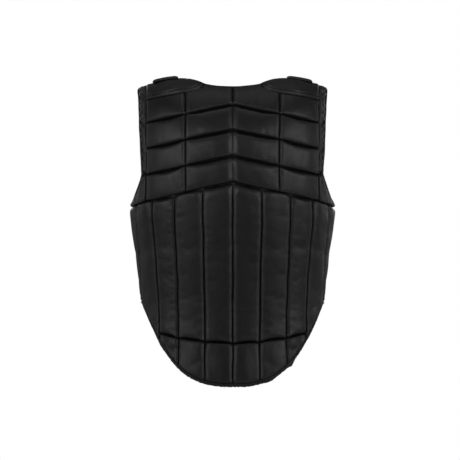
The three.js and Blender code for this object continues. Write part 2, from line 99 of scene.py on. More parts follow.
# shares of the half width under the arms and at the side hem, then in front
BACK_SEAMS = ((0, 0), (0.289, 0.303), (0.57, 0.595), (0.79, 0.81), (0.945, 0.99))
FRONT_SEAMS = (0.82, 0.45)
TAIL_COLUMNS = 3
SIDE_HEM = -416.0
FRONT_HEM_RISE = 20.0
TAIL_SEAM_DROP = 513.0
TAIL_SEAM_RISE = 18.0
TAIL_DROP = 155.0
TAIL_FULLNESS = 2.85

# Front
STRAP_IN = 86.0
ZIP_HALF = 10.0
FRONT_ARM = 164.0
FRONT_NECK_HALF = 72.0
CHEST_SEAM = -60.0
FRONT_NECK = -82.0
CHEST_ROWS = 3
ARM_SHARE = 0.9  # share of the last chest row's outer end that follows the armhole

# Tabs, with the shares of the shoulder vault's depth that they reach over, front then back
TAB_MIDDLE = 130.0
TAB_WIDTH = 50.0
TAB_REACH = (-0.5, 0.28)
ELASTIC_SHARE = 0.84  # share of the backing's length that the elastic covers

# Cut sizes of the lining in metres, measured round under the arms and from the shoulder to the hem
BACK_CUT = (0.55, 0.61)
FRONT_CUT = (0.2, 0.47)

# Shares of the length, then of the half width and of the back and front depths
TRUNK = np.array(
    [
        (0.0, 0.955, 0.94, 0.93),
        (0.27, 0.998, 1.0, 0.98),
        (0.42, 1.01, 0.985, 1.0),
        (0.58, 0.951, 0.925, 0.95),
        (0.73, 0.905, 0.87, 0.89),
        (0.87, 0.894, 0.88, 0.88),
        (1.0, 0.9, 0.93, 0.88),
    ]
)


def from_hex(code):
    """sRGB hex to linear RGBA."""
    parts = [int(code[i : i + 2], 16) / 255 for i in (0, 2, 4)]
    return tuple(c / 12.92 if c <= 0.04045 else ((c + 0.055) / 1.055) ** 2.4 for c in parts) + (1.0,)


def length_of(label, description, default):
    return FloatProperty(
        name=label, description=description, default=default, unit="LENGTH", subtype="DISTANCE"
    )


def colour_of(label, description, code):
    start = from_hex(code)
    return FloatVectorProperty(
        name=label, description=description, default=start, size=4, subtype="COLOR", min=0, max=1
    )


class VestSizes(bpy.types.PropertyGroup):
    groove: length_of("Groove depth", "How deep the sewn seams sink into the pads", 0.0068)
    crown: length_of("Crown", "How far the middle of a foam block stands above its shoulders", 0.0026)
    crumple: FloatProperty(
        name="Crumple",
        description="Share of the cloth's own small wrinkles that is kept",
        default=0.25,
        min=0,
        max=1,
    )
    pucker: length_of("Pucker", "Height of the gathers that the stitching pulls along a seam", 0.0006)
    wander: length_of("Wander", "How far a sewn line strays from its drawn place", 0.0005)
    stitch: length_of("Stitch spacing", "One stitch to the next", 0.0042)
    rib: length_of("Rib spacing", "One rib of the elastic webbing to the next", 0.0034)
    tooth: length_of("Tooth spacing", "One zip tooth to the next on the same tape", 0.0031)


class VestColours(bpy.types.PropertyGroup):
    cover: colour_of("Cover", "Synthetic leather of the pads", "211f20")
    # paler colour painted along the rolled edges and raised folds as a painted highlight, partly edge wear;
    # also the thread's own colour
    highlight_and_thread: colour_of("Rolled edges", "The same leather where it is stretched over a foam edge", "3a3738")
    tape: colour_of("Binding", "Synthetic leather of the bindings", "121113")
    webbing: colour_of("Webbing", "Ribbed elastic of the shoulder tabs", "0d0d0e")
    backing: colour_of("Tab backing", "Hook-and-loop tape under the tabs", "383536")
    zip: colour_of("Zip", "Moulded teeth and slider", "1d1d1f")
    lining: colour_of("Lining", "Knitted mesh inside", "202022")
    studio: colour_of("Studio", "Painted floor", "fafafa")


def lerp(a, b, t):
    return a + (b - a) * t


def spline(column, down):
    """Smooth curve through one column of TRUNK, straight beyond its ends."""
    x, y = TRUNK[:, 0], TRUNK[:, column]
    i = np.clip(np.searchsorted(x, down, side="right") - 1, 0, len(x) - 2)
    first, last = i == 0, i == len(x) - 2
    step = x[i + 1] - x[i]
    before = np.where(first, step, x[i] - x[np.maximum(i - 1, 0)])
    after = np.where(last, step, x[np.minimum(i + 2, len(x) - 1)] - x[i + 1])
    y_before = np.where(first, y[i + 1], y[np.maximum(i - 1, 0)])
    y_after = np.where(last, y[i], y[np.minimum(i + 2, len(x) - 1)])
    wp, wn, p = step / 2 / before, step / 2 / after, (down - x[i]) / step
    return (
        (-wp * p**3 + 2 * wp * p**2 - wp * p) * y_before
        + ((1 + wp) * p**3 + (-1.5 - 2 * wp) * p**2 + (-0.5 + wp) * p + 1) * y[i]
        + ((-1 - wn) * p**3 + (1.5 + wn) * p**2 + 0.5 * p) * y[i + 1]
        + (wn * p**3 - wn * p**2) * y_after
    )


def eased(column, scale):
    """One column of TRUNK every 2 mm from the tail up, eased so that its knots don't catch the light."""
    around = 24
    pull = np.exp(-((np.arange(-around, around + 1) * 2 / 22) ** 2))
    values = spline(column, np.clip((TOP - LEVELS) / LENGTH, 0, 1)) * scale
    padded = np.pad(values, around, mode="reflect", reflect_type="odd")
    return np.convolve(padded, pull / pull.sum(), "valid")


LEVELS = np.arange(TOP - LENGTH, TOP + 1, 2.0)
SHAPE = [eased(column, scale) for column, scale in ((1, HALF_CHEST), (2, BACK_DEPTH), (3, FRONT_DEPTH))]


def trunk(z):
    """Half width, back depth and front depth at a height."""
    return [np.interp(z, LEVELS, values) for values in SHAPE]


def shoulder_line(x):
    return TOP - SHOULDER_FALL * np.maximum(0, (np.abs(x) - LEVEL_SHOULDER) / SHOULDER_RUN) ** 2


def depth_at(x, z, back):
    half, deep, front = trunk(z)
    out = np.minimum(1, np.abs(x) / half)
    return np.where(back, deep, front) * (1 - out**SQUARENESS) ** (1 / SQUARENESS)


def vault(x, z, back):
    foot = np.where(back, SPRING_BACK, SPRING_FRONT)
    up = np.clip((z - foot) / (shoulder_line(x) - foot), 0, 1)
    return (1 - up**RISE) ** (1 / RUN)


def angle_of(x, z, back):
    depth = depth_at(x, z, back)
    return np.arctan2(x, np.where(back, depth, -depth))


def on_trunk(angle, z):
    back = angle <= RIGHT_ANGLE
    half, deep, front = trunk(z)
    across = np.abs(np.sin(angle)) / half
    along = np.abs(np.cos(angle)) / np.where(back, deep, front)
    radius = (across**SQUARENESS + along**SQUARENESS) ** (-1 / SQUARENESS)
    x = radius * np.sin(angle)
    return np.stack(np.broadcast_arrays(x, -radius * np.cos(angle) * vault(x, z, back), z), -1)


def on_shoulder(x, lean):
    back = lean > 0
    foot = np.where(back, SPRING_BACK, SPRING_FRONT)
    z = lerp(foot, shoulder_line(x), (1 - np.abs(lean) ** RUN) ** (1 / RISE))
    return np.stack(np.broadcast_arrays(x, -depth_at(x, z, back) * lean, z), -1)


def lean_of(x, z, back):
    return vault(x, z, back) * (1 if back else -1)


def unit(v):
    return v / (np.linalg.norm(v, axis=-1, keepdims=True) + 1e-12)


def lay(surface, a, b, step_a, step_b):
    """Points of the skin and their outward directions."""
    a, b = np.broadcast_arrays(np.asarray(a, float), np.asarray(b, float))
    at = surface(a, b)
    along_a = surface(a + step_a, b) - surface(a - step_a, b)
    along_b = surface(a, b + step_b) - surface(a, b - step_b)
    out = unit(np.cross(along_a, along_b))
    middle = np.zeros_like(at)
    middle[..., 2] = np.minimum(at[..., 2], SPRING_BACK)
    out[((at - middle) * out).sum(-1) < 0] *= -1
    return at, out


def lay_trunk(angle, z):
    return lay(on_trunk, angle, z, 0.002, 0.5)


def lay_shoulder(x, lean):
    return lay(on_shoulder, x, lean, 0.5, 0.004)


def lay_back(x, z):
    return lay_trunk(angle_of(x, z, True), z)


def lay_front(x, z):
    return lay_trunk(angle_of(x, z, False), z)


# Seam lines of the pattern
def chevron(row, x):
    return TOP - FIRST_ROW - row * ROW_PITCH - np.abs(x) * CHEVRON_SLOPE


def shoulder_seam(x):
    out, drop = np.array(SHOULDER_SEAM).T
    out = out / YOKE_HALF
    slope = (1 - drop[-2]) / (out[-1] - out[-2])
    inside = np.interp(x / YOKE_HALF, out, drop)
    return TOP - CAP_DROP * np.where(x > YOKE_HALF, 1 + slope * (x / YOKE_HALF - 1), inside)


def yoke_top(x):
    end = shoulder_seam(np.array(NECK_HALF))
    return np.where(x < NECK_HALF, lerp(NECK_MIDDLE, end, (x / NECK_HALF) ** 2), shoulder_seam(x))


def yoke_foot(angle, z):
    x = on_trunk(angle, z)[..., 0]
    start = float(chevron(YOKE_ROWS - 1, YOKE_HALF))
    corner = float(angle_of(YOKE_HALF, start, True))
    beyond = lerp(start, UNDERARM, np.clip((angle - corner) / (RIGHT_ANGLE - corner), 0, 1))
    return np.where((angle < RIGHT_ANGLE) & (x <= YOKE_HALF), chevron(YOKE_ROWS - 1, x), beyond)


def seam_angle(seam, z):
    if seam == SIDE_SEAM:
        return np.full_like(np.asarray(z, float), RIGHT_ANGLE + SIDE_SEAM_TURN)
    if seam == CLOSURE:
        return angle_of(ZIP_HALF, z, False)
    half = trunk(z)[0]
    if seam > SIDE_SEAM:
        return angle_of(FRONT_SEAMS[seam - SIDE_SEAM - 1] * half, z, False)
    head, foot = BACK_SEAMS[seam]
    down = np.clip((UNDERARM - z) / (UNDERARM - SIDE_HEM), 0, 1)
    return angle_of(lerp(head, foot, down) * half, z, True)


def tail_seam(angle, z):
    end = float(on_trunk(seam_angle(TAIL_COLUMNS, np.array(SIDE_HEM)), SIDE_HEM)[..., 0])
    return TOP - TAIL_SEAM_DROP + TAIL_SEAM_RISE * (on_trunk(angle, z)[..., 0] / end) ** 2


def hem(angle, z):
    tail_half = float(on_trunk(seam_angle(SIDE_SEAM - 1, np.array(SIDE_HEM)), SIDE_HEM)[..., 0])
    out = np.clip(on_trunk(angle, z)[..., 0] / tail_half, 0, 1)
    front = SIDE_HEM + FRONT_HEM_RISE * np.cos(angle) ** 2
    return np.where(angle > RIGHT_ANGLE, front, SIDE_HEM - TAIL_DROP * (1 - out**TAIL_FULLNESS))


def channel_angle(seam, u, z):
    return lerp(seam_angle(seam, z), seam_angle(seam + 1, z), u)


def crossing(seam, u, line):
    z = np.full_like(u, UNDERARM)
    for _ in range(12):
        z = line(channel_angle(seam, u, z), z)
    return z


def channel_spot(seam, head, foot):
    def spot(u, v):
        z = lerp(crossing(seam, u, head), crossing(seam, u, foot), v)
        return lay_trunk(channel_angle(seam, u, z), z)

    return spot


# The blocks, as in the CAD source: u runs round from the centre back and v runs down
def yoke_spot(start, end, row):
    def spot(u, v):
        x = lerp(start, end, u)
        top = yoke_top(x) if row == 0 else chevron(row - 1, x)
        return lay_back(x, lerp(top, chevron(row, x), v))

    return spot


def cap_spot(u, v):
    foot = lerp(NECK_HALF, YOKE_HALF, u)
    x = lerp(lerp(STRAP_IN, NECK_HALF, v**2), YOKE_HALF, u)
    return lay_shoulder(x, lean_of(foot, shoulder_seam(foot), True) * v)


def band_spot(u, v):
    part = v * YOKE_ROWS
    corner = ROUNDING * np.exp(-((v / CORNER_SHARE) ** 2))
    x = YOKE_HALF + (lerp(BAND_TOP, BAND_FOOT, v) - corner) * u
    start = float(shoulder_seam(np.array(YOKE_HALF)))
    over, over_out = lay_shoulder(x, lean_of(YOKE_HALF, start, True) * np.clip(part, 0, 1))
    lines = [start] + [float(chevron(i, YOKE_HALF)) for i in range(YOKE_ROWS - 1)]
    down, down_out = lay_back(x, np.interp(np.clip(part - 1, 0, YOKE_ROWS - 1), np.arange(YOKE_ROWS), lines))
    top = (part < 1)[..., None]
    return np.where(top, over, down), np.where(top, over_out, down_out)


BAND_FOOT_Z = float(chevron(YOKE_ROWS - 2, YOKE_HALF))
BAND_FOOT_ANGLE = float(angle_of(YOKE_HALF + BAND_FOOT, BAND_FOOT_Z, True))


def flare(start, end, out, power):
    return lerp(end, start, out**power)


def gusset_spot(u, v):
    edge = lerp(BAND_FOOT_ANGLE, RIGHT_ANGLE, v)
    edge_z = flare(BAND_FOOT_Z, ARMHOLE_LOW, 1 - v, GUSSET_FLARE)
    beside = lerp(BAND_FOOT_Z, float(chevron(YOKE_ROWS - 1, YOKE_HALF)), np.minimum(1, v * 2))
    seam = lerp(angle_of(YOKE_HALF, beside, True), RIGHT_ANGLE, np.maximum(0, v * 2 - 1))
    seam_z = np.where(v < 0.5, beside, yoke_foot(seam, beside))
    return lay_trunk(lerp(seam, edge, u), lerp(seam_z, edge_z, u))


def chest_line(row):
    return lerp(CHEST_SEAM, UNDERARM, row / CHEST_ROWS)


def front_shoulder_spot(u, v):
    outer = lerp(YOKE_HALF + BAND_TOP - ROUNDING, FRONT_ARM, v)
    x = lerp(outer, lerp(STRAP_IN, FRONT_NECK_HALF, v), u)
    foot = lerp(FRONT_ARM, FRONT_NECK_HALF, u)
    return lay_shoulder(x, lean_of(foot, CHEST_SEAM, False) * v)


def chest_spot(row):
    def spot(u, v):
        level = lerp(chest_line(row), chest_line(row + 1), v)
        if row < CHEST_ROWS - 1:
            x = lerp(FRONT_ARM, ZIP_HALF, u)
            out = (x - ZIP_HALF) / (FRONT_NECK_HALF - ZIP_HALF)
            neck = lerp(FRONT_NECK, CHEST_SEAM, np.minimum(out, 1) ** 2)
            top = neck if row == 0 else chest_line(row)
            return lay_front(x, lerp(top, chest_line(row + 1), v))
        along = np.minimum(1, v / ARM_SHARE)
        start = float(angle_of(FRONT_ARM, chest_line(row), False))
        below = np.maximum(0, (v - ARM_SHARE) / (1 - ARM_SHARE))
        outer_z = lerp(flare(chest_line(row), ARMHOLE_LOW, 1 - along, FRONT_FLARE), UNDERARM, below)
        angle = lerp(lerp(start, RIGHT_ANGLE, along), angle_of(ZIP_HALF, level, False), u)
        return lay_trunk(angle, lerp(outer_z, level, u))

    return spot


def zip_spot(u, v):
    z = lerp(FRONT_NECK, float(hem(np.array(math.pi), SIDE_HEM)), v)
    edge = seam_angle(CLOSURE, z)
    return lay_trunk(lerp(edge, 2 * math.pi - edge, u), z)


def tab_spot(u, v):
    return lay_shoulder(TAB_MIDDLE + TAB_WIDTH * (u - 0.5), lerp(*TAB_REACH, v))


# Small irregular waves, the same on each run, with their lengths and heights
WAVES = np.random.default_rng(7).uniform(-1, 1, (3, 4, 4))
WAVE_LENGTHS = (34, 52, 85, 130)
WAVE_HEIGHTS = (0.3, 0.45, 0.7, 0.8)
GATHER_PITCHES = (6.5, 9.7, 14.3, 23.0)


def stray(points):
    """A slow drift of the cloth, shared by neighbouring pieces, so that sewn lines wander together."""
    drift = np.zeros_like(points)
    for axis in range(3):
        for (a, b, c, phase), wave, height in zip(WAVES[axis], WAVE_LENGTHS, WAVE_HEIGHTS):
            pull = unit(np.array((a, b, c))) * 2 * math.pi / wave
            drift[..., axis] += np.sin(points @ pull + phase * math.pi) * height
    return drift


def wander(points):
    """How far the cloth lies from its drawn place."""
    return stray(points) * bpy.context.scene.vest_sizes.wander / MM


def on_side(side, *arrays):
    """The same points or directions on the wearer's right, 1, or left, -1."""
    return [values * np.array((side, 1, 1)) for values in arrays]


def gather(along, seed):
    """Uneven gathers along a seam."""
    rng = np.random.default_rng(seed)
    total = np.zeros_like(along)
    for pitch in GATHER_PITCHES:
        total += np.sin(2 * math.pi * along / (pitch * rng.uniform(0.85, 1.15)) + rng.uniform(0, 6.28))
    return total / 2.2


def bell(distance, width):
    return np.exp(-((distance / width) ** 2))


def graded(length, coarse):
    """Places along a block, close together beside its seams."""
    near = np.array((0, 0.9, 1.9, 3.0, 4.3, 5.9, 8.0, 10.6, 13.6))
    near = near[near < length / 2 - coarse / 3]
    count = max(1, math.ceil((length - 2 * near[-1]) / coarse))
    middle = np.linspace(near[-1], length - near[-1], count + 1)
    return np.concatenate((near[:-1], middle, (length - near[:-1])[::-1])) / length


def smooth_weights(known, wanted):
    """Weights that carry values at known places to wanted ones along a smooth curve."""
    eye = np.eye(len(known))
    slope = np.gradient(eye, known, axis=0)
    k = np.clip(np.searchsorted(known, wanted, side="right") - 1, 0, len(known) - 2)
    step = (known[k + 1] - known[k])[:, None]
    t = (wanted - known[k])[:, None] / step
    return (
        (2 * t**3 - 3 * t**2 + 1) * eye[k]
        + (t**3 - 2 * t**2 + t) * step * slope[k]
        + (3 * t**2 - 2 * t**3) * eye[k + 1]
        + (t**3 - t**2) * step * slope[k + 1]
    )


class Block:
    """One padded block of the pattern, with the seams at its u=0, u=1, v=0 and v=1 borders.

    Its rough width and height in millimetres set how fine its mesh is. A seam is (depth, width, roundness),
    or a function that gives them.
    """

    def __init__(self, spot, wide, tall, seams, relief=None, coarse=4.5):
        self.spot, self.wide, self.tall = spot, wide, tall
        self.seams, self.relief, self.coarse = seams, relief, coarse

    def lay(self, us, vs, side):
        return on_side(side, *self.spot(*np.meshgrid(us, vs)))


def run_along(at, axis):
    """Distance along the rows or columns of a grid from its first border."""
    steps = np.linalg.norm(np.diff(at, axis=axis), axis=-1).cumsum(axis)
    return np.concatenate((np.zeros_like(np.take(steps, [0], axis)), steps), axis)


def distances(at):
    """Distance to the block's four borders, and the place along each of them."""
    across, down = run_along(at, 1), run_along(at, 0)
    return (across, across[:, -1:] - across, down, down[-1:] - down), (down, down, across, across)


def dressed(block, side, swell, sizes, seed):
    """The outer face of a block: rolled edges, sunk seams with gathers, and its swollen crown, with masks of
    painted shade down in the seams and a painted highlight on the rolled edges.
    """
    us, vs = graded(block.wide, block.coarse), graded(block.tall, block.coarse)
    at, out = block.lay(us, vs, side)
    gaps, along = distances(at)
    open_share = np.ones(at.shape[:2])
    groove_shade, lip_highlight, ruffle, bead = np.zeros((4, *at.shape[:2]))
    for i, (gap, run, seam) in enumerate(zip(gaps, along, block.seams)):
        depth, width, roundness = seam(at, gaps) if callable(seam) else seam
        shown = np.clip(depth, 0, 1)
        open_share *= 1 - depth * np.exp(-((gap / width) ** roundness))
        # groove_shade marks painted shade down in each seam, darker for a deeper seam
        groove_shade = np.maximum(groove_shade, shown * np.exp(-((gap / width) ** (1.5 * roundness))))
        # lip_highlight marks a painted highlight on the rolled edge beside each seam, partly edge wear
        lip_highlight = np.maximum(lip_highlight, bell(gap - 2.2 * width, 1.2 * width) / roundness)
        bead += 0.35 * bell(gap - 2.8 * width, 1.5 * width) / roundness
        ruffle += gather(run, seed * 4 + i) * np.exp(-gap / 9) * (1 - np.exp(-gap / 2)) * shown
    height = -(1 - open_share) * sizes.groove / MM + ruffle * sizes.pucker / MM + bead
    if block.relief:
        fold = block.relief(us[None, :], vs[:, None], at, gaps)
        height = height + fold
        # a sunk fold gets painted shade and a raised fold a painted highlight
        groove_shade = np.maximum(groove_shade, np.clip(-fold / 3, 0, 0.75))
        lip_highlight = np.maximum(lip_highlight, np.clip(fold / 1.6, 0, 1))
    crown = sizes.crown / MM
    if swell is None:
        dome = (1 - (1 - 2 * us[None, :]) ** 4) * (1 - (1 - 2 * vs[:, None]) ** 4)
        return at, out, at + out * (height + crown * (dome - 1))[..., None], groove_shade, lip_highlight
    known_u, known_v, puffed = swell
    down, across = smooth_weights(known_v, vs), smooth_weights(known_u, us)
    moved = np.einsum("ij,jkc,lk->ilc", down, puffed, across)
    return at, out, at + out * (height - crown)[..., None] + moved, groove_shade, lip_highlight


def grid_faces(rows, columns, flip):
    """Quads of a closed pad: its outer face, its inner face and the walls between."""
    index = np.arange(rows * columns).reshape(rows, columns)
    a, b, c, d = index[:-1, :-1], index[:-1, 1:], index[1:, 1:], index[1:, :-1]
    under = rows * columns
    parts = [np.stack((a, d, c, b), -1).reshape(-1, 4)]
    parts.append(np.stack((a, b, c, d), -1).reshape(-1, 4) + under)
    rim = ((index[0], 1), (index[-1], -1), (index[:, 0], -1), (index[:, -1], 1))
    for line, turn in rim:
        i, j = (line[:-1], line[1:]) if turn > 0 else (line[1:], line[:-1])
        parts.append(np.stack((i, j, j + under, i + under), -1))
    faces = np.concatenate(parts)
    return faces[:, ::-1] if flip else faces


def make_object(name, points, faces, material, attributes=None, sharp=50):
    """A smooth-shaded mesh object at the origin, from points in millimetres."""
    mesh = bpy.data.meshes.new(name)
    mesh.from_pydata((np.asarray(points) * MM).tolist(), [], [list(map(int, f)) for f in faces])
    for key, values in (attributes or {}).items():
        attribute = mesh.attributes.new(key, "FLOAT", "POINT")
        attribute.data.foreach_set("value", np.asarray(values, np.float32))
    mesh.polygons.foreach_set("use_smooth", np.ones(len(mesh.polygons), bool))
    mesh.set_sharp_from_angle(angle=math.radians(sharp))
    mesh.materials.append(material)
    mesh.update()
    piece = bpy.data.objects.new(name, mesh)
    bpy.context.scene.collection.objects.link(piece)
    return piece


class Slabs:
    """Closed slabs, each from its outer and inner face, collected into one mesh."""

    def __init__(self):
        self.points, self.faces, self.count = [], [], 0

    def add(self, outer, inner, flip):
        self.points += [outer.reshape(-1, 3), inner.reshape(-1, 3)]
        self.faces.append(grid_faces(*outer.shape[:2], flip) + self.count)
        self.count += outer.shape[0] * outer.shape[1] * 2

    def make(self, name, material, look=None):
        points, faces = np.concatenate(self.points), np.concatenate(self.faces)
        return make_object(name, points, faces, finish(material), look)


COVER_FINISH = "pu_coated_synthetic_leather"
CLOTH_CELL = 7  # rough size of the solver's cells, in millimetres
CLOTH_STEPS = 20
CLOTH = {
    "quality": 6,
    "mass": 0.25,
    "tension_stiffness": 12,
    "compression_stiffness": 12,
    "shear_stiffness": 4,
    "bending_stiffness": 0.3,
    "shrink_min": -0.018,
    "shrink_max": -0.018,
    "use_pressure": True,
    "uniform_pressure_force": 4,
    "vertex_group_mass": "sewn",
}


def blown(cloth, pinned):
    """Where Blender's cloth solver takes the points of a blank that is pinned along its sewn edges."""
    group = cloth.vertex_groups.new(name="sewn")
    group.add(pinned.tolist(), 1.0, "REPLACE")
    modifier = cloth.modifiers.new("Cloth", "CLOTH")
    for key, value in CLOTH.items():
        setattr(modifier.settings, key, value)
    modifier.settings.effector_weights.gravity = 0
    modifier.collision_settings.use_collision = False
    modifier.point_cache.frame_start, modifier.point_cache.frame_end = 1, CLOTH_STEPS
    for step in range(1, CLOTH_STEPS + 1):
        bpy.context.scene.frame_set(step)
    result = cloth.evaluated_get(bpy.context.evaluated_depsgraph_get()).data
    moved = np.zeros(len(result.vertices) * 3)
    result.vertices.foreach_get("co", moved)
    bpy.context.scene.frame_set(1)
    mesh = cloth.data
    bpy.data.objects.remove(cloth)
    bpy.data.meshes.remove(mesh)
    return moved.reshape(-1, 3) / MM


def smoothed(values, rounds):
    """A grid with each inner value drawn towards its neighbours."""
    even = values.copy()
    for _ in range(rounds):
        beside = even[:-2, 1:-1] + even[2:, 1:-1] + even[1:-1, :-2] + even[1:-1, 2:]
        even[1:-1, 1:-1] = (even[1:-1, 1:-1] * 2 + beside) / 6
    return even


def inflate(blocks, cap, crumple):
    """Blows up the cloth of the blocks between its sewn edges, and returns how each moved."""
    points, faces, pinned, spans = [], [], [], []
    count = 0
    for block, side in blocks:
        us, vs = [np.linspace(0, 1, max(4, round(size / CLOTH_CELL)) + 1) for size in (block.wide, block.tall)]
        at, out = block.lay(us, vs, side)
        index = np.arange(at.shape[0] * at.shape[1]).reshape(at.shape[:2]) + count
        quads = np.stack((index[:-1, :-1], index[1:, :-1], index[1:, 1:], index[:-1, 1:]), -1).reshape(-1, 4)
        faces.append(quads if side > 0 else quads[:, ::-1])
        pinned.append(np.concatenate((index[0], index[-1], index[:, 0], index[:, -1])))
        points.append(at.reshape(-1, 3))
        spans.append((us, vs, at, out, index))
        count += index.size
    cloth = make_object("cloth_blank", np.concatenate(points), np.concatenate(faces), finish(COVER_FINISH))
    moved = blown(cloth, np.concatenate(pinned))
    results = []
    for us, vs, at, out, index in spans:
        shift = moved[index] - at
        rise = (shift * out).sum(-1, keepdims=True)
        drift = np.clip(shift - rise * out, -1, 1) * crumple
        usual = max(float(np.percentile(rise, 80)), 0.5)
        rise = np.tanh(rise / usual * 1.1) * cap
        rise = lerp(smoothed(rise, 6), rise, crumple)
        results.append((us, vs, rise * out + drift))
    return results


def make_cover(name, blocks, nodes, seed):
    """One padded cover: closed blocks on both sides of the vest, joined in one piece."""
    sizes = bpy.context.scene.vest_sizes
    both = [(block, side) for side in (1, -1) for block in blocks]
    swells = inflate(both, sizes.crown / MM, sizes.crumple)
    slabs, seams, lip_highlights = Slabs(), [], []
    for number, ((block, side), swell) in enumerate(zip(both, swells)):
        at, out, outer, groove_shade, lip_highlight = dressed(block, side, swell, sizes, seed * 97 + number)
        drift = wander(at)
        slabs.add(outer + drift, at - out * (PAD - COVER_SHORT) + drift, side < 0)
        # the outer face carries the painted groove shade and the painted lip highlight; the inner face has
        # neither
        unmarked = np.zeros(groove_shade.size)
        seams += [groove_shade.ravel(), unmarked]
        lip_highlights += [lip_highlight.ravel(), unmarked]
    look = {"seam": np.concatenate(seams), "lip_highlight": np.concatenate(lip_highlights)}
    cover = slabs.make(name, COVER_FINISH, look)
    settle(cover, nodes)


def settle(piece, nodes=()):
    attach(piece, "root")
    if nodes:
        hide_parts(*nodes)


def pair(*names):
    return [f"{name}_{side}" for name in names for side in ("right", "left")]


# Materials
def add(tree, kind, inputs=None, **settings):
    """Adds a node with its settings, and links or sets its inputs."""
    node = tree.nodes.new(kind)
    for key, value in settings.items():
        setattr(node, key, value)
    for key, value in (inputs or {}).items():
        if isinstance(value, bpy.types.NodeSocket):
            tree.links.new(value, node.inputs[key])
        else:
            node.inputs[key].default_value = value
    return node


def blank(name):
    """An empty material, its node tree and the place on the piece."""
    material = bpy.data.materials.new(name)
    material.use_nodes = True
    tree = material.node_tree
    tree.nodes.clear()
    return material, tree, add(tree, "ShaderNodeTexCoord").outputs["Object"]


def mapped(tree, value, low, high, start=0.0, end=1.0):
    """Takes a value from start and end to low and high."""
    given = {"Value": value, "From Min": start, "From Max": end, "To Min": low, "To Max": high}
    return add(tree, "ShaderNodeMapRange", given).outputs[0]


def product(tree, a, b):
    return add(tree, "ShaderNodeMath", {0: a, 1: b}, operation="MULTIPLY").outputs[0]


def mixed(tree, share, a, b, blend="MIX"):
    given = {"Factor": share, "A": a, "B": b}
    return add(tree, "ShaderNodeMix", given, data_type="RGBA", blend_type=blend).outputs["Result"]


def surfaced(tree, values):
    shader = add(tree, "ShaderNodeBsdfPrincipled", values)
    add(tree, "ShaderNodeOutputMaterial", {"Surface": shader.outputs[0]})


def synthetic_leather(name, colour, highlight_and_thread, rough):
    """Polyurethane-coated synthetic leather: a soft satin shine over an embossed grain and fine creases, with
    painted shade down in the seams and a painted highlight on the rolled edges.
    """
    material, tree, place = blank(name)
    # embossed pebble grain, assumed 1.1 mm across on a real cover, drawn at 2 mm so that it shows
    pebbles = {"Vector": place, "Scale": 1 / 0.002, "Randomness": 0.9}
    pebble = add(tree, "ShaderNodeTexVoronoi", pebbles, feature="SMOOTH_F1").outputs["Distance"]
    # creases of 12 mm and their finer branches
    creases = {"Vector": place, "Scale": 1 / 0.012, "Detail": 5.0, "Roughness": 0.55, "Distortion": 0.6}
    crease = add(tree, "ShaderNodeTexNoise", creases).outputs["Fac"]
    # patches of more and less handled cover, 70 mm across
    patches = {"Vector": place, "Scale": 1 / 0.07, "Detail": 3.0, "Roughness": 0.6}
    patch = add(tree, "ShaderNodeTexNoise", patches).outputs["Fac"]
    # masks from the mesh: painted highlight on the lips and painted shade in the seams
    lip_highlight = add(tree, "ShaderNodeAttribute", attribute_name="lip_highlight").outputs["Fac"]
    seam = add(tree, "ShaderNodeAttribute", attribute_name="seam").outputs["Fac"]
    # painted highlight: paler on the rolled edges and raised folds, partly edge wear; painted shade: darker
    # down in a seam
    edge_highlighted = mixed(tree, product(tree, lip_highlight, mapped(tree, patch, 0.45, 1.0, 0.3, 0.7)), colour, highlight_and_thread)
    tone = product(tree, mapped(tree, patch, 0.82, 1.2, 0.3, 0.7), mapped(tree, seam, 1.0, 0.3))
    grained = {"Strength": 0.35, "Distance": 0.0002, "Height": pebble}
    grain = add(tree, "ShaderNodeBump", grained).outputs["Normal"]
    folded = {"Strength": 0.5, "Distance": 0.0008, "Height": crease, "Normal": grain}
    values = {
        "Base Color": mixed(tree, 1.0, edge_highlighted, tone, "MULTIPLY"),
        "Roughness": mapped(tree, crease, rough - 0.05, rough + 0.08, 0.3, 0.7),
        "Normal": add(tree, "ShaderNodeBump", folded).outputs["Normal"],
        "IOR": 1.5,
        "Coat Weight": 0.08,
        "Coat Roughness": 0.3,
    }
    surfaced(tree, values)
    return material


def woven_fabric(name, colour, pitch, rough, lift):
    """Knitted or woven polyester: matt, with a soft sheen on its crossing threads."""
    material, tree, place = blank(name)
    # threads at their assumed spacing, in two directions across the piece
    threads = {"Vector": place, "Scale": 0.314 / pitch, "Distortion": 0.4, "Detail": 1.0}
    warp, weft = [add(tree, "ShaderNodeTexWave", threads, bands_direction=way).outputs["Fac"] for way in "XZ"]
    cross = product(tree, warp, weft)
    raised = {"Strength": 0.6, "Distance": lift, "Height": cross}
    values = {
        "Base Color": mixed(tree, 1.0, colour, mapped(tree, cross, 0.55, 1.3), "MULTIPLY"),
        "Roughness": rough,
        "Normal": add(tree, "ShaderNodeBump", raised).outputs["Normal"],
        "IOR": 1.5,
        "Sheen Weight": 0.06,
        "Sheen Roughness": 0.4,
    }
    surfaced(tree, values)
    return material


def moulded_acetal(name, colour):
    """Moulded acetal of zip teeth and slider: smooth and slightly waxy, with faint flow marks."""
    material, tree, place = blank(name)
    flow = add(tree, "ShaderNodeTexNoise", {"Vector": place, "Scale": 1 / 0.004, "Detail": 2.0}).outputs["Fac"]
    surfaced(tree, {"Base Color": colour, "Roughness": mapped(tree, flow, 0.28, 0.5), "IOR": 1.48})
    return material


def studio_paint(name, colour):
    """Matt white emulsion on the studio floor, shown as bright as a lit floor without lighting the vest."""
    material, tree, place = blank(name)
    roller = add(tree, "ShaderNodeTexNoise", {"Vector": place, "Scale": 1 / 0.01}).outputs["Fac"]
    stippled = {"Strength": 0.05, "Distance": 0.0005, "Height": roller}
    bump = add(tree, "ShaderNodeBump", stippled).outputs["Normal"]
    seen = add(tree, "ShaderNodeLightPath").outputs["Is Camera Ray"]
    values = {
        "Base Color": colour,
        "Roughness": 0.9,
        "Normal": bump,
        "Emission Color": colour,
        "Emission Strength": product(tree, seen, FLOOR_GLOW),
    }
    surfaced(tree, values)
    return material


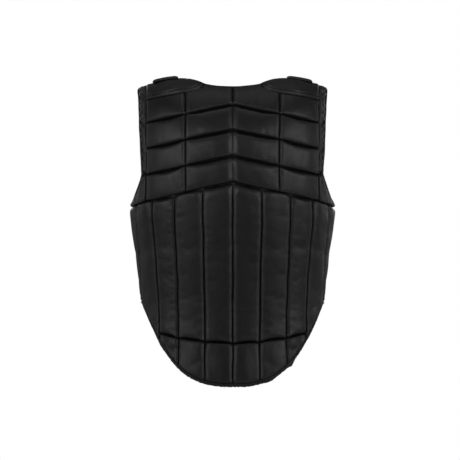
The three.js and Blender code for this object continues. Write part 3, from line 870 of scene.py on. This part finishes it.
def finish(name):
    """The material of that name, made when it is first asked for."""
    known = bpy.data.materials.get(name)
    if known:
        return known
    colours = bpy.context.scene.vest_colours
    makers = {
        "pu_coated_synthetic_leather": lambda: synthetic_leather(name, colours.cover, colours.highlight_and_thread, 0.42),
        "rolled_synthetic_leather_binding": lambda: synthetic_leather(name, colours.tape, colours.highlight_and_thread, 0.46),
        "ribbed_elastic_webbing": lambda: woven_fabric(name, colours.webbing, 0.0016, 0.8, 0.0003),
        "hook_and_loop_backing": lambda: woven_fabric(name, colours.backing, 0.0011, 0.9, 0.0002),
        "woven_zip_tape": lambda: woven_fabric(name, colours.webbing, 0.0012, 0.85, 0.0002),
        "knitted_mesh_lining": lambda: woven_fabric(name, colours.lining, 0.0028, 0.85, 0.0004),
        "bonded_polyester_thread": lambda: woven_fabric(name, colours.highlight_and_thread, 0.0006, 0.6, 0.0001),
        "moulded_acetal": lambda: moulded_acetal(name, colours.zip),
        "matt_white_studio_paint": lambda: studio_paint(name, colours.studio),
    }
    return makers[name]()


# What repeats along a path: stitches and zip teeth
def row_tree():
    """Geometry Nodes that set small rounded bars along a path, turned to face out of the cloth."""
    name = "Bars along a path"
    if name in bpy.data.node_groups:
        return bpy.data.node_groups[name]
    tree = bpy.data.node_groups.new(name, "GeometryNodeTree")
    face = tree.interface
    face.new_socket("Geometry", in_out="INPUT", socket_type="NodeSocketGeometry")
    for label in ("Spacing", "Length", "Width", "Height"):
        face.new_socket(label, in_out="INPUT", socket_type="NodeSocketFloat")
    face.new_socket("Material", in_out="INPUT", socket_type="NodeSocketMaterial")
    face.new_socket("Geometry", in_out="OUTPUT", socket_type="NodeSocketGeometry")
    given = tree.nodes.new("NodeGroupInput").outputs
    named = add(tree, "GeometryNodeInputNamedAttribute", {"Name": "out"}, data_type="FLOAT_VECTOR")
    out = named.outputs["Attribute"]
    curve = add(tree, "GeometryNodeMeshToCurve", {"Mesh": given["Geometry"]}).outputs["Curve"]
    spaced = {"Curve": curve, "Length": given["Spacing"]}
    points = add(tree, "GeometryNodeResampleCurve", spaced, mode="LENGTH").outputs["Curve"]
    tangent = add(tree, "GeometryNodeInputTangent").outputs[0]
    along = add(tree, "FunctionNodeAlignRotationToVector", {"Vector": tangent}, axis="X").outputs[0]
    upright = {"Rotation": along, "Vector": out}
    turned = add(tree, "FunctionNodeAlignRotationToVector", upright, axis="Z", pivot_axis="X").outputs[0]
    edges = {"X": given["Length"], "Y": given["Width"], "Z": given["Height"]}
    size = add(tree, "ShaderNodeCombineXYZ", edges).outputs[0]
    bar = add(tree, "GeometryNodeMeshCube", {"Size": size}).outputs["Mesh"]
    rounded = add(tree, "GeometryNodeSubdivisionSurface", {"Mesh": bar, "Level": 1}).outputs[0]
    spread = {"Min": (0.92, 0.92, 0.92), "Max": (1.06, 1.06, 1.06), "Seed": 3}
    uneven = add(tree, "FunctionNodeRandomValue", spread, data_type="FLOAT_VECTOR").outputs[0]
    placed = {"Points": points, "Instance": rounded, "Rotation": turned, "Scale": uneven}
    bars = add(tree, "GeometryNodeInstanceOnPoints", placed).outputs[0]
    real = add(tree, "GeometryNodeRealizeInstances", {"Geometry": bars}).outputs[0]
    smooth = add(tree, "GeometryNodeSetShadeSmooth", {"Geometry": real}).outputs[0]
    last = {"Geometry": smooth, "Material": given["Material"]}
    add(tree, "NodeGroupOutput", {"Geometry": add(tree, "GeometryNodeSetMaterial", last).outputs[0]})
    return tree


def make_row(name, paths, material, spacing, length, width, height):
    """Runs the bars along each path, given as points and outward directions in millimetres."""
    mesh = bpy.data.meshes.new(name)
    points = np.concatenate([path for path, _ in paths]) * MM
    edges, start = [], 0
    for path, _ in paths:
        edges += [(start + i, start + i + 1) for i in range(len(path) - 1)]
        start += len(path)
    mesh.from_pydata(points.tolist(), edges, [])
    outs = np.concatenate([out for _, out in paths]).astype(np.float32)
    mesh.attributes.new("out", "FLOAT_VECTOR", "POINT").data.foreach_set("vector", outs.ravel())
    line = bpy.data.objects.new(name + "_path", mesh)
    bpy.context.scene.collection.objects.link(line)
    modifier = line.modifiers.new("Bars", "NODES")
    modifier.node_group = row_tree()
    values = {"Spacing": spacing, "Length": length, "Width": width, "Height": height, "Material": material}
    for socket in modifier.node_group.interface.items_tree:
        if socket.in_out == "INPUT" and socket.name in values:
            modifier[socket.identifier] = values[socket.name]
    bpy.context.view_layer.update()
    solid = bpy.data.meshes.new_from_object(line.evaluated_get(bpy.context.evaluated_depsgraph_get()))
    bpy.data.objects.remove(line)
    solid.name = name
    piece = bpy.data.objects.new(name, solid)
    bpy.context.scene.collection.objects.link(piece)
    settle(piece)


def sewn_line(spot, u, v, height):
    """A line of the skin at a height, as points and outward directions on both sides of the vest."""
    lines = []
    for side in (1, -1):
        at, out = on_side(side, *spot(np.asarray(u, float), np.asarray(v, float)))
        lines.append((at + wander(at) + out * height, out))
    return lines


# Rolled bindings
TAPE = (
    (-2.2, 4.2), (-1.0, 2.6), (1.2, 2.2), (3.3, 3.6), (4.6, 6.2), (5.0, 9.5),
    (5.0, 13.0), (4.5, 16.6), (3.0, 19.4), (0.8, 20.8), (-1.2, 20.6), (-2.2, 19.0),
)  # its section: (beyond the edge, below the skin)
TAPE_STEP = 2.2  # shortest step along a binding

# Where the tape of the tail's hem is bunched: (x, width, share added to its reach)
HEM_LUMPS = ((112.0, 5.0, 0.65), (72.0, 10.0, 0.4), (-138.0, 6.0, 0.25))
LUMPS_BELOW = -480.0


def make_binding(name, paths, closed, turn, nodes, lumps=()):
    """Leather tape rolled over an edge; each path is points and outward directions along that edge."""
    points, faces = [], []
    sides = len(TAPE)
    for number, (path, out) in enumerate(paths):
        keep = [0]
        for i in range(1, len(path)):
            if np.linalg.norm(path[i] - path[keep[-1]]) > TAPE_STEP:
                keep.append(i)
        if closed and np.linalg.norm(path[keep[-1]] - path[0]) < TAPE_STEP:
            keep.pop()
        path, out = path[keep], unit(out[keep])
        count, base = len(path), sum(len(p) for p in points)
        if closed:
            ahead, behind = np.roll(path, -1, 0), np.roll(path, 1, 0)
        else:
            ahead = np.concatenate((path[1:], path[-1:]))
            behind = np.concatenate((path[:1], path[:-1]))
        away = unit(np.cross(ahead - behind, out)) * turn
        run = np.concatenate(([0], np.linalg.norm(np.diff(path, axis=0), axis=1).cumsum()))
        bunched = sum(size * bell(path[:, 0] - x, wide) for x, wide, size in lumps)
        crimp = 1 + 0.09 * gather(run * 1.5, 500 + number) + bunched * (path[:, 2] < LUMPS_BELOW)
        ring = np.stack([path + away * (off * crimp)[:, None] - out * deep for off, deep in TAPE], 1)
        points.append((ring + wander(path)[:, None]).reshape(-1, 3))
        for i in range(count if closed else count - 1):
            j = (i + 1) % count
            for k in range(sides):
                n = (k + 1) % sides
                quad = tuple(base + a * sides + b for a, b in ((i, k), (i, n), (j, n), (j, k)))
                faces.append(quad if turn > 0 else quad[::-1])
        if not closed:
            first = tuple(base + k for k in range(sides))
            last = tuple(base + (count - 1) * sides + k for k in range(sides))
            faces += [first[::-1], last] if turn > 0 else [first, last[::-1]]
    everything = np.concatenate(points)
    # a painted highlight along the top of the rolled tape, and no painted seam shade
    lip_highlight = np.tile(0.45 * bell(np.arange(sides) - 1.5, 1.2), len(everything) // sides)
    look = {"lip_highlight": lip_highlight, "seam": np.zeros(len(everything))}
    piece = make_object(name, everything, faces, finish("rolled_synthetic_leather_binding"), look)
    settle(piece, nodes)


def edge_of(spot, u=None, v=None, back=False, count=60):
    t = np.linspace(0, 1, count)[:: -1 if back else 1]
    return spot(np.full(count, u, float), t) if v is None else spot(t, np.full(count, v, float))


def joined(parts):
    return np.concatenate([p for p, _ in parts]), np.concatenate([n for _, n in parts])


def both_sides(path, out):
    """A path from the centre outwards, run on from its mirror image."""
    other_path, other_out = on_side(-1, path[:0:-1], out[:0:-1])
    return np.concatenate((other_path, path)), np.concatenate((other_out, out))


# Seams of the pattern: share of the groove depth, width in mm, and 1 for a sharp fold or 2 for a round one;
# the depth share also sets how dark the painted shade down in the groove is
def slack_between(at):
    """How free the cloth is of the seams that cross a chevron: 0 beside one, 1 well away from it."""
    x = np.abs(at[..., 0])
    return 1 - np.clip(bell(x - COLUMN, 20) + bell(x - YOKE_HALF, 24), 0, 1)


def lip_seam(at, gaps):
    """The tight rolled edge above a chevron seam."""
    return 0.8 + 0.2 * slack_between(at), 1.4 + 0.3 * slack_between(at), 1


def mouth_seam(at, gaps):
    """The shadowed mouth below a chevron seam, open where no other seam holds it."""
    out = np.clip(np.abs(at[..., 0]) / YOKE_HALF, 0, 1)
    return 0.8 + 0.25 * slack_between(at), 1.9 + lerp(4.3, 3.0, out) * slack_between(at), 2


def channel_seam(at, gaps):
    """A channel seam, pulled wider at its head."""
    near = np.exp(-gaps[2] / 10)
    return lerp(0.58, 1.0, near), lerp(2.3, 6.0, near), 1


def foot_seam(at, gaps):
    """The shadow under a channel's foot, where it bulges over the tail seam between two upright seams."""
    slack = 1 - np.clip(bell(gaps[0], 13) + bell(gaps[1], 13), 0, 1)
    return 0.7 + 0.3 * slack, 1.5 + 3.2 * slack, 2


def tail_upright(at, gaps):
    """A seam of the tail, pulled wider just under the tail seam."""
    near = np.exp(-gaps[2] / 7)
    return lerp(0.52, 0.95, near), lerp(2.2, 5.0, near), 1


EDGE = (0.62, 2.2, 1)
UPRIGHT = (0.5, 2.2, 1)
CENTRE = (0.34, 3.2, 1)


def cap_relief(u, v, at, gaps):
    """The second row of stitching above the shoulder seam, with the raised ridge between."""
    sunk = -3.0 * bell(gaps[3] - SECOND_LINE, 1.5)
    return sunk + 1.5 * bell(gaps[3] - 4.8, 1.9) + 1.1 * bell(gaps[3] - 12.2, 2.0)


def band_relief(u, v, at, gaps):
    """Gathers where the row seams run into the band."""
    pull = sum(bell((v - line) * BAND_LENGTH, 5) for line in (0.25, 0.5, 0.75, 0.985))
    slant = np.sin((v * BAND_LENGTH + u * 9) * 2 * math.pi / 13)
    return -2.4 * pull * (1 - 0.5 * u) + (1.5 * slant - 0.6) * u - 1.1 * bell(u - 0.42, 0.1)


def gusset_relief(u, v, at, gaps):
    """Upright folds where the cover is pulled under the arm."""
    fold = np.sin(np.abs(at[..., 0]) * 0.72 + at[..., 2] * 0.11)
    return 1.25 * fold * np.exp(-gaps[3] / 60) * np.clip(gaps[3] / 6, 0, 1)


def channel_relief(u, v, at, gaps):
    """Cross creases where the back bends, dimples at the heads and short folds at the feet of the seams."""
    x, z = at[..., 0], at[..., 2]
    low = np.exp(-(((z + 390) / 75) ** 2)) * bell(x, 70)
    lines = np.sin(z / 1.9 + 0.6 * np.sin(x / 21)) + np.sin(z / 3.1 + x / 37 + 1) + np.sin(z / 5.3 - x / 60)
    patchy = 0.5 + 0.5 * np.sin(x / 31 + 2) * np.sin(z / 43)
    slack = 0.5 * bell(gaps[2] - 12, 7) * (bell(gaps[0] - 5, 5) + bell(gaps[1] - 5, 5))
    tugs = 0.0
    for gap in gaps[:2]:
        tugs = tugs + bell(gaps[3] - 1 - 0.5 * gap, 1.5) * np.exp(-gap / 12) * (1 - np.exp(-gap / 2.5))
    return 0.09 * low * lines * patchy - slack * 2.4 + 0.9 * tugs


# Studio, in metres and watts
CAMERA_DISTANCE = 10.0
PICTURE_WIDTH = 0.8924  # what the picture shows across at the vest
CAMERA_X, CAMERA_Z = -0.00485, -0.2755
ROOM_LIGHT = 0.075  # what the white room sheds on the vest, of what the camera sees of it
FLOOR_GLOW = 0.62
# name, place, power, size, aim and spread in degrees
LIGHTS = (
    ("high_left", (-1.95, -1.25, 0.5), 1.5, 1.9, (0, 0, 0.14), 51),
    ("high_right", (1.95, -1.25, 0.5), 1.75, 1.9, (0, 0, 0.14), 51),
    ("low_left", (-1.2, -2.2, 0.2), 0.42, 0.6, (0, 0, 0.15), 50),
    ("low_right", (1.2, -2.2, 0.2), 0.34, 0.6, (0, 0, 0.15), 50),
    ("side_left", (-2.3, 0.75, -0.1), 1.6, 0.7, (0, 0, -0.2), 180),
    ("side_right", (2.3, 0.75, -0.1), 1.6, 0.7, (0, 0, -0.2), 180),
    ("overhead", (0, -0.2, 2.4), 6, 2.4, (0, 0, 0), 180),
    ("front_left", (-1.5, 2.6, 0.6), 9, 1.4, (0, 0, -0.2), 180),
    ("front_right", (1.7, 2.5, 0.4), 7, 1.4, (0, 0, -0.2), 180),
)


class VEST_OT_camera(bpy.types.Operator):
    """Level long-lens camera behind the wearer, at the photograph's angle"""

    bl_idname = "vest.camera"
    bl_label = "Camera"

    def execute(self, context):
        lens = bpy.data.cameras.new("studio_camera")
        lens.sensor_width = 36
        lens.sensor_fit = "HORIZONTAL"
        lens.lens = lens.sensor_width * CAMERA_DISTANCE / PICTURE_WIDTH
        lens.clip_end = 50
        camera = bpy.data.objects.new("studio_camera", lens)
        context.scene.collection.objects.link(camera)
        camera.location = (CAMERA_X, -CAMERA_DISTANCE, CAMERA_Z)
        camera.rotation_euler = (RIGHT_ANGLE, 0, 0)
        context.scene.camera = camera
        return {"FINISHED"}


class VEST_OT_stage(bpy.types.Operator):
    """White floor in a white room with soft studio lights"""

    bl_idname = "vest.stage"
    bl_label = "Stage and lights"

    def execute(self, context):
        floor_z, reach, count = -900.0, 3000.0, 64
        turn = np.linspace(0, 2 * math.pi, count, endpoint=False)
        around = np.stack((np.cos(turn), np.sin(turn), np.zeros(count)), -1)
        middle = np.array([(0, 0, floor_z)])
        points = np.concatenate([middle] + [around * r + middle for r in (reach / 8, reach / 2, reach)])
        faces = [(0, 1 + i, 1 + (i + 1) % count) for i in range(count)]
        for start in (1, 1 + count):
            for i in range(count):
                a, b = start + i, start + (i + 1) % count
                faces.append((a, a + count, b + count, b))
        floor = make_object("studio_floor", points, faces, finish("matt_white_studio_paint"))
        for name, place, power, size, aim, spread in LIGHTS:
            lamp = bpy.data.lights.new(name, "AREA")
            lamp.energy, lamp.size, lamp.spread = power, size, math.radians(spread)
            light = bpy.data.objects.new(name, lamp)
            context.scene.collection.objects.link(light)
            light.location = place
            light.rotation_euler = (light.location - Vector(aim)).to_track_quat("Z", "Y").to_euler()
        world = bpy.data.worlds.new("studio_air")
        world.use_nodes = True
        tree = world.node_tree
        tree.nodes.clear()
        # a pure white room behind the vest, and dim soft light on it from all round
        seen = add(tree, "ShaderNodeLightPath").outputs["Is Camera Ray"]
        strength = mapped(tree, seen, ROOM_LIGHT, 1.0)
        room = add(tree, "ShaderNodeBackground", {"Color": (1, 1, 1, 1), "Strength": strength}).outputs[0]
        add(tree, "ShaderNodeOutputWorld", {"Surface": room})
        context.scene.world = world
        context.scene.view_settings.view_transform = "Standard"
        return {"FINISHED"}


class VEST_OT_back_yoke(bpy.types.Operator):
    """Four chevron rows of blocks across the shoulder blades"""

    bl_idname = "vest.back_yoke"
    bl_label = "Back yoke"

    def execute(self, context):
        blocks, nodes = [], []
        for row in range(YOKE_ROWS):
            tall = 38 if row == 0 else 51
            top = (0.6, 1.5, 1) if row == 0 else mouth_seam
            middle = UPRIGHT if row == 0 else CENTRE
            blocks.append(Block(yoke_spot(0, COLUMN, row), 92, tall, (middle, UPRIGHT, top, lip_seam)))
            outer = (UPRIGHT, (0.7, 1.9, 1), top, lip_seam)
            blocks.append(Block(yoke_spot(COLUMN, YOKE_HALF, row), 85, tall, outer))
            nodes += pair(f"yoke_row{row + 1}_inner", f"yoke_row{row + 1}_outer")
        make_cover("back_yoke_cover", blocks, nodes, 1)
        return {"FINISHED"}


class VEST_OT_shoulders(bpy.types.Operator):
    """Smooth padded shoulder caps and the front shoulder pads that they meet"""

    bl_idname = "vest.shoulders"
    bl_label = "Shoulder pads"

    def execute(self, context):
        ridge = (0.6, 2.2, 1)
        cap = Block(cap_spot, 100, 85, (EDGE, (0.42, 1.6, 1), ridge, (0.7, 1.3, 1)), cap_relief)
        make_cover("shoulder_caps", [cap], pair("shoulder_cap"), 2)
        front = Block(front_shoulder_spot, 92, 125, (EDGE, EDGE, ridge, (0.9, 2, 1)))
        make_cover("front_shoulder_pads", [front], pair("front_shoulder"), 3)
        return {"FINISHED"}


class VEST_OT_armholes(bpy.types.Operator):
    """Padded strips beside the armholes and the gussets under the arms"""

    bl_idname = "vest.armholes"
    bl_label = "Armhole bands and gussets"

    def execute(self, context):
        seams = ((0.45, 1.6, 1), EDGE, (0.7, 2, 1), (0.8, 2, 1))
        band = Block(band_spot, 15, 215, seams, band_relief, coarse=3.5)
        make_cover("armhole_bands", [band], pair("armhole_band"), 4)
        seams = ((0.75, 1.5, 1), EDGE, (0.8, 2, 1), (0.8, 2, 1))
        gusset = Block(gusset_spot, 30, 90, seams, gusset_relief, coarse=3)
        make_cover("underarm_gussets", [gusset], pair("underarm_gusset"), 5)
        return {"FINISHED"}


class VEST_OT_back_channels(bpy.types.Operator):
    """Long upright channels of the back, five on each side of the centre seam"""

    bl_idname = "vest.back_channels"
    bl_label = "Back channels"

    def execute(self, context):
        blocks = []
        for seam in range(SIDE_SEAM):
            over_tail = seam < TAIL_COLUMNS
            tall = 300 if over_tail else 230
            wide = 82 if seam == SIDE_SEAM - 1 else 57
            seams = (channel_seam, channel_seam, mouth_seam, foot_seam if over_tail else EDGE)
            spot = channel_spot(seam, yoke_foot, tail_seam if over_tail else hem)
            blocks.append(Block(spot, wide, tall, seams, channel_relief))
        nodes = pair(*[f"back_channel{i + 1}" for i in range(SIDE_SEAM)])
        make_cover("back_channels", blocks, nodes, 6)
        return {"FINISHED"}


class VEST_OT_tail(bpy.types.Operator):
    """Tail blocks below the waist, three on each side"""

    bl_idname = "vest.tail"
    bl_label = "Tail"

    def execute(self, context):
        seams = (tail_upright, tail_upright, (0.6, 1.2, 1), EDGE)
        blocks = [Block(channel_spot(i, tail_seam, hem), 57, 75, seams) for i in range(TAIL_COLUMNS)]
        make_cover("tail_blocks", blocks, pair("tail_block1", "tail_block2", "tail_block3"), 7)
        return {"FINISHED"}


class VEST_OT_front(bpy.types.Operator):
    """Chest blocks and front channels, finished plainly"""

    bl_idname = "vest.front"
    bl_label = "Fronts"

    def execute(self, context):
        seam = (0.9, 1.8, 1)
        rows = []
        for row, wide in enumerate((170, 175, 225)):
            rows.append(Block(chest_spot(row), wide, 58, (EDGE, EDGE, EDGE if row == 0 else seam, seam)))
        make_cover("chest_blocks", rows, pair("chest_row1", "chest_row2", "chest_row3"), 8)
        blocks = []
        for i in range(SIDE_SEAM, CLOSURE):
            seams = (seam, EDGE if i == CLOSURE - 1 else seam, seam, EDGE)
            blocks.append(Block(channel_spot(i, yoke_foot, hem), 88, 190, seams, channel_relief))
        nodes = pair("front_channel1", "front_channel2", "front_channel3")
        make_cover("front_channels", blocks, nodes, 9)
        return {"FINISHED"}


class VEST_OT_bindings(bpy.types.Operator):
    """Rolled leather tape round the hem, the neck and the armholes"""

    bl_idname = "vest.bindings"
    bl_label = "Bindings"

    def execute(self, context):
        low = joined([edge_of(channel_spot(i, yoke_foot, hem), v=1) for i in range(CLOSURE)])
        make_binding("hem_binding_tape", [both_sides(*low)], False, 1, ["hem_binding"], HEM_LUMPS)
        neck = [
            edge_of(yoke_spot(0, NECK_HALF, 0), v=0),
            edge_of(cap_spot, u=0, back=True),
            edge_of(front_shoulder_spot, u=1),
        ]
        start = (FRONT_ARM - FRONT_NECK_HALF) / (FRONT_ARM - ZIP_HALF)
        neck.append(chest_spot(0)(np.linspace(start, 1, 50), np.zeros(50)))
        make_binding("neck_binding_tape", [both_sides(*joined(neck))], False, -1, ["neck_binding"])
        arm = [edge_of(band_spot, u=1, count=120), edge_of(gusset_spot, u=1)]
        arm.append(chest_spot(CHEST_ROWS - 1)(np.zeros(50), np.linspace(ARM_SHARE, 0, 50)))
        arm += [edge_of(chest_spot(row), u=0, back=True) for row in (1, 0)]
        arm.append(edge_of(front_shoulder_spot, u=0, back=True))
        loop = joined(arm)
        make_binding("right_armhole_tape", [loop], True, -1, ["armhole_binding_right"])
        make_binding("left_armhole_tape", [on_side(-1, *loop)], True, 1, ["armhole_binding_left"])
        return {"FINISHED"}


class VEST_OT_tabs(bpy.types.Operator):
    """Ribbed elastic tabs over the shoulders"""

    bl_idname = "vest.tabs"
    bl_label = "Shoulder tabs"

    def execute(self, context):
        ribs = context.scene.vest_sizes.rib / MM
        backing = self.strap("tab_backings", (0, 1), (0.01, 0.99), 0.2, 1.5, 0, ribs, "hook_and_loop_backing")
        settle(backing)
        reach, across = (0, ELASTIC_SHARE), (0.04, 0.96)
        elastic = self.strap("shoulder_tabs", reach, across, 1.5, 2.4, 0.8, ribs, "ribbed_elastic_webbing")
        settle(elastic, pair("shoulder_tab"))
        return {"FINISHED"}

    def strap(self, name, reach, across, low, high, rise, ribs, material):
        """A flat strap over each shoulder between two heights, with cross ribs that rise above it."""
        shares = np.concatenate(([0, 0.02, 0.05], np.linspace(0.1, 0.9, 9), [0.95, 0.98, 1]))
        at, out = tab_spot(*np.meshgrid(lerp(*across, shares), np.linspace(*reach, 300)))
        run = distances(at)[1][0]
        edge = np.clip(np.minimum(shares, 1 - shares) * TAB_WIDTH / 1.2, 0, 1)[None, :]
        end = np.clip(np.minimum(run, run[-1:] - run) / 2, 0, 1)
        wave = 0.5 + 0.5 * np.cos(run / ribs * 2 * math.pi)
        inside = ((shares > 0.06) & (shares < 0.94))[None, :]
        top = high - 0.5 + (0.5 + rise * wave * inside) * edge * end
        slabs = Slabs()
        for side in (1, -1):
            slabs.add(*on_side(side, at + out * top[..., None], at + out * low), side > 0)
        return slabs.make(name, material)


class VEST_OT_zip(bpy.types.Operator):
    """Front zip: woven tapes, moulded teeth and a slider"""

    bl_idname = "vest.zip"
    bl_label = "Front zip"

    def execute(self, context):
        us, vs = np.linspace(-0.12, 1.12, 13), np.linspace(0.004, 0.996, 90)
        at, out = zip_spot(*np.meshgrid(us, vs))
        level = -PAD / 2
        tape = Slabs()
        tape.add(at + out * (level + 0.7), at + out * (level - 0.7), False)
        settle(tape.make("zip_tape", "woven_zip_tape"), ["front_zip"])
        lines = []
        for shift, offset in ((0.44, 0), (0.56, 0.5)):
            v = np.linspace(0.012 + offset * 0.01, 0.985, 200)
            at, out = zip_spot(np.full(200, shift), v)
            lines.append((at + out * (level + 1.4), out))
        pitch = context.scene.vest_sizes.tooth
        make_row("zip_teeth", lines, finish("moulded_acetal"), pitch, 0.0016, 0.0052, 0.0026)
        self.slider(level)
        return {"FINISHED"}

    def slider(self, level):
        """A slider body with a waisted pull hanging from it."""
        at, out = zip_spot(np.array([0.5]), np.array([0.03]))
        at, out = at[0], out[0]
        down = unit(np.cross(out, np.array((1.0, 0, 0))))
        down = down if down[2] < 0 else -down
        side = np.array((1.0, 0, 0))
        body = [(-6, 4.2, 1.2), (-4, 5.4, 2.6), (0, 5.6, 3.4), (5, 4.6, 2.8), (8, 3.4, 1.2)]
        pull = [(1, 1.6, 1.0), (4, 3.0, 1.2), (10, 3.4, 1.2), (20, 3.6, 1.1), (29, 4.2, 1.2), (33, 3.0, 0.8)]
        points, faces = [], []
        for rows, lift in ((body, 2.4), (pull, 7.2)):
            base = len(points)
            for along, half, thick in rows:
                for k in range(16):
                    a = 2 * math.pi * k / 16
                    x = abs(math.cos(a)) ** 0.6 * math.copysign(half, math.cos(a))
                    y = abs(math.sin(a)) ** 0.6 * math.copysign(thick, math.sin(a))
                    points.append(at + out * (level + lift + y) + side * x + down * along)
            for i in range(len(rows) - 1):
                for k in range(16):
                    a, b = base + i * 16 + k, base + i * 16 + (k + 1) % 16
                    faces.append((a, b, b + 16, a + 16))
            end = base + (len(rows) - 1) * 16
            faces += [tuple(range(base, base + 16))[::-1], tuple(range(end, end + 16))]
        slider = make_object("zip_slider", np.array(points), faces, finish("moulded_acetal"), sharp=60)
        settle(slider)


class VEST_OT_lining(bpy.types.Operator):
    """Knitted mesh lining inside the back and the two fronts"""

    bl_idname = "vest.lining"
    bl_label = "Lining"

    def execute(self, context):
        columns = ((0, COLUMN), (COLUMN, YOKE_HALF))
        back = [yoke_spot(a, b, row) for row in range(YOKE_ROWS) for a, b in columns]
        back += [cap_spot, band_spot, gusset_spot]
        back += [channel_spot(i, yoke_foot, tail_seam if i < TAIL_COLUMNS else hem) for i in range(SIDE_SEAM)]
        back += [channel_spot(i, tail_seam, hem) for i in range(TAIL_COLUMNS)]
        front = [front_shoulder_spot] + [chest_spot(row) for row in range(CHEST_ROWS)]
        front += [channel_spot(i, yoke_foot, hem) for i in range(SIDE_SEAM, CLOSURE)]
        self.sheet("back_lining", back, (1, -1), BACK_CUT, ["back_yoke_cover", "back_channels"])
        self.sheet("right_front_lining", front, (1,), FRONT_CUT, ["chest_blocks", "front_channels"])
        self.sheet("left_front_lining", front, (-1,), FRONT_CUT, ["chest_blocks", "front_channels"])
        return {"FINISHED"}

    def sheet(self, name, spots, sides, flat, rests_on):
        """Thin knitted cloth over the inner faces of the blocks, closed block by block."""
        slabs, area = Slabs(), 0.0
        halves = np.meshgrid((0.0, 0.5, 1.0), (0.0, 0.5, 1.0))
        for side in sides:
            for spot in spots:
                rough = spot(*halves)[0]
                middles = (rough[1], rough[:, 1])
                spans = [np.linalg.norm(np.diff(line, axis=0), axis=1).sum() for line in middles]
                at, out = spot(*np.meshgrid(*[graded(max(span, 14), 9) for span in spans]))
                sunk = 0.55 * np.exp(-np.minimum.reduce(distances(at)[0]) / 2.5)
                outer = at - out * (PAD - LINING_OUTER)
                inner = at - out * (PAD - LINING_INNER - sunk)[..., None]
                drift = wander(*on_side(side, at))
                slabs.add(*[layer + drift for layer in on_side(side, outer, inner)], side < 0)
                skin = at - out * PAD
                crossed = np.cross(skin[1:, 1:] - skin[:-1, :-1], skin[1:, :-1] - skin[:-1, 1:])
                area += np.linalg.norm(crossed, axis=-1).sum() / 2 * MM * MM
        piece = slabs.make(name, "knitted_mesh_lining")
        settle(piece)


class VEST_OT_stitching(bpy.types.Operator):
    """Rows of stitches beside the shoulder seams and along the tabs"""

    bl_idname = "vest.stitching"
    bl_label = "Stitching"

    def execute(self, context):
        u = np.linspace(0.02, 0.98, 80)
        foot, above = cap_spot(u, np.ones_like(u))[0], cap_spot(u, np.full_like(u, 0.9))[0]
        tenth = np.linalg.norm(foot - above, axis=-1)
        paths = sewn_line(cap_spot, u, 1 - SECOND_LINE / 10 / tenth, -2.6)
        for across in (0.09, 0.91):
            at, out = tab_spot(np.full_like(u, across), u * ELASTIC_SHARE)
            paths += [on_side(side, at + out * 2.5, out) for side in (1, -1)]
        pitch = context.scene.vest_sizes.stitch
        thread = finish("bonded_polyester_thread")
        make_row("seam_stitches", paths, thread, pitch, 0.0034, 0.0009, 0.0008)
        return {"FINISHED"}


PIECES = (
    VEST_OT_camera,
    VEST_OT_back_yoke,
    VEST_OT_shoulders,
    VEST_OT_armholes,
    VEST_OT_back_channels,
    VEST_OT_tail,
    VEST_OT_front,
    VEST_OT_bindings,
    VEST_OT_tabs,
    VEST_OT_zip,
    VEST_OT_lining,
    VEST_OT_stitching,
    VEST_OT_stage,
)


class VEST_PT_pieces(bpy.types.Panel):
    """Lists the vest's pieces, sizes and colours"""

    bl_idname = "VEST_PT_pieces"
    bl_label = "Riding Body Protector"
    bl_space_type = "VIEW_3D"
    bl_region_type = "UI"
    bl_category = "Vest"

    def draw(self, context):
        for operator in PIECES:
            self.layout.operator(operator.bl_idname)
        for group in (context.scene.vest_sizes, context.scene.vest_colours):
            for key in group.__annotations__:
                self.layout.prop(group, key)


CLASSES = (VestSizes, VestColours) + PIECES + (VEST_PT_pieces,)


def register():
    for cls in CLASSES:
        bpy.utils.register_class(cls)
    bpy.types.Scene.vest_sizes = PointerProperty(type=VestSizes)
    bpy.types.Scene.vest_colours = PointerProperty(type=VestColours)


def unregister():
    del bpy.types.Scene.vest_sizes, bpy.types.Scene.vest_colours
    for cls in reversed(CLASSES):
        bpy.utils.unregister_class(cls)


def main():
    register()
    for operator in PIECES:
        group, name = operator.bl_idname.split(".")
        getattr(getattr(bpy.ops, group), name)()


if __name__ == "__main__":
    main()
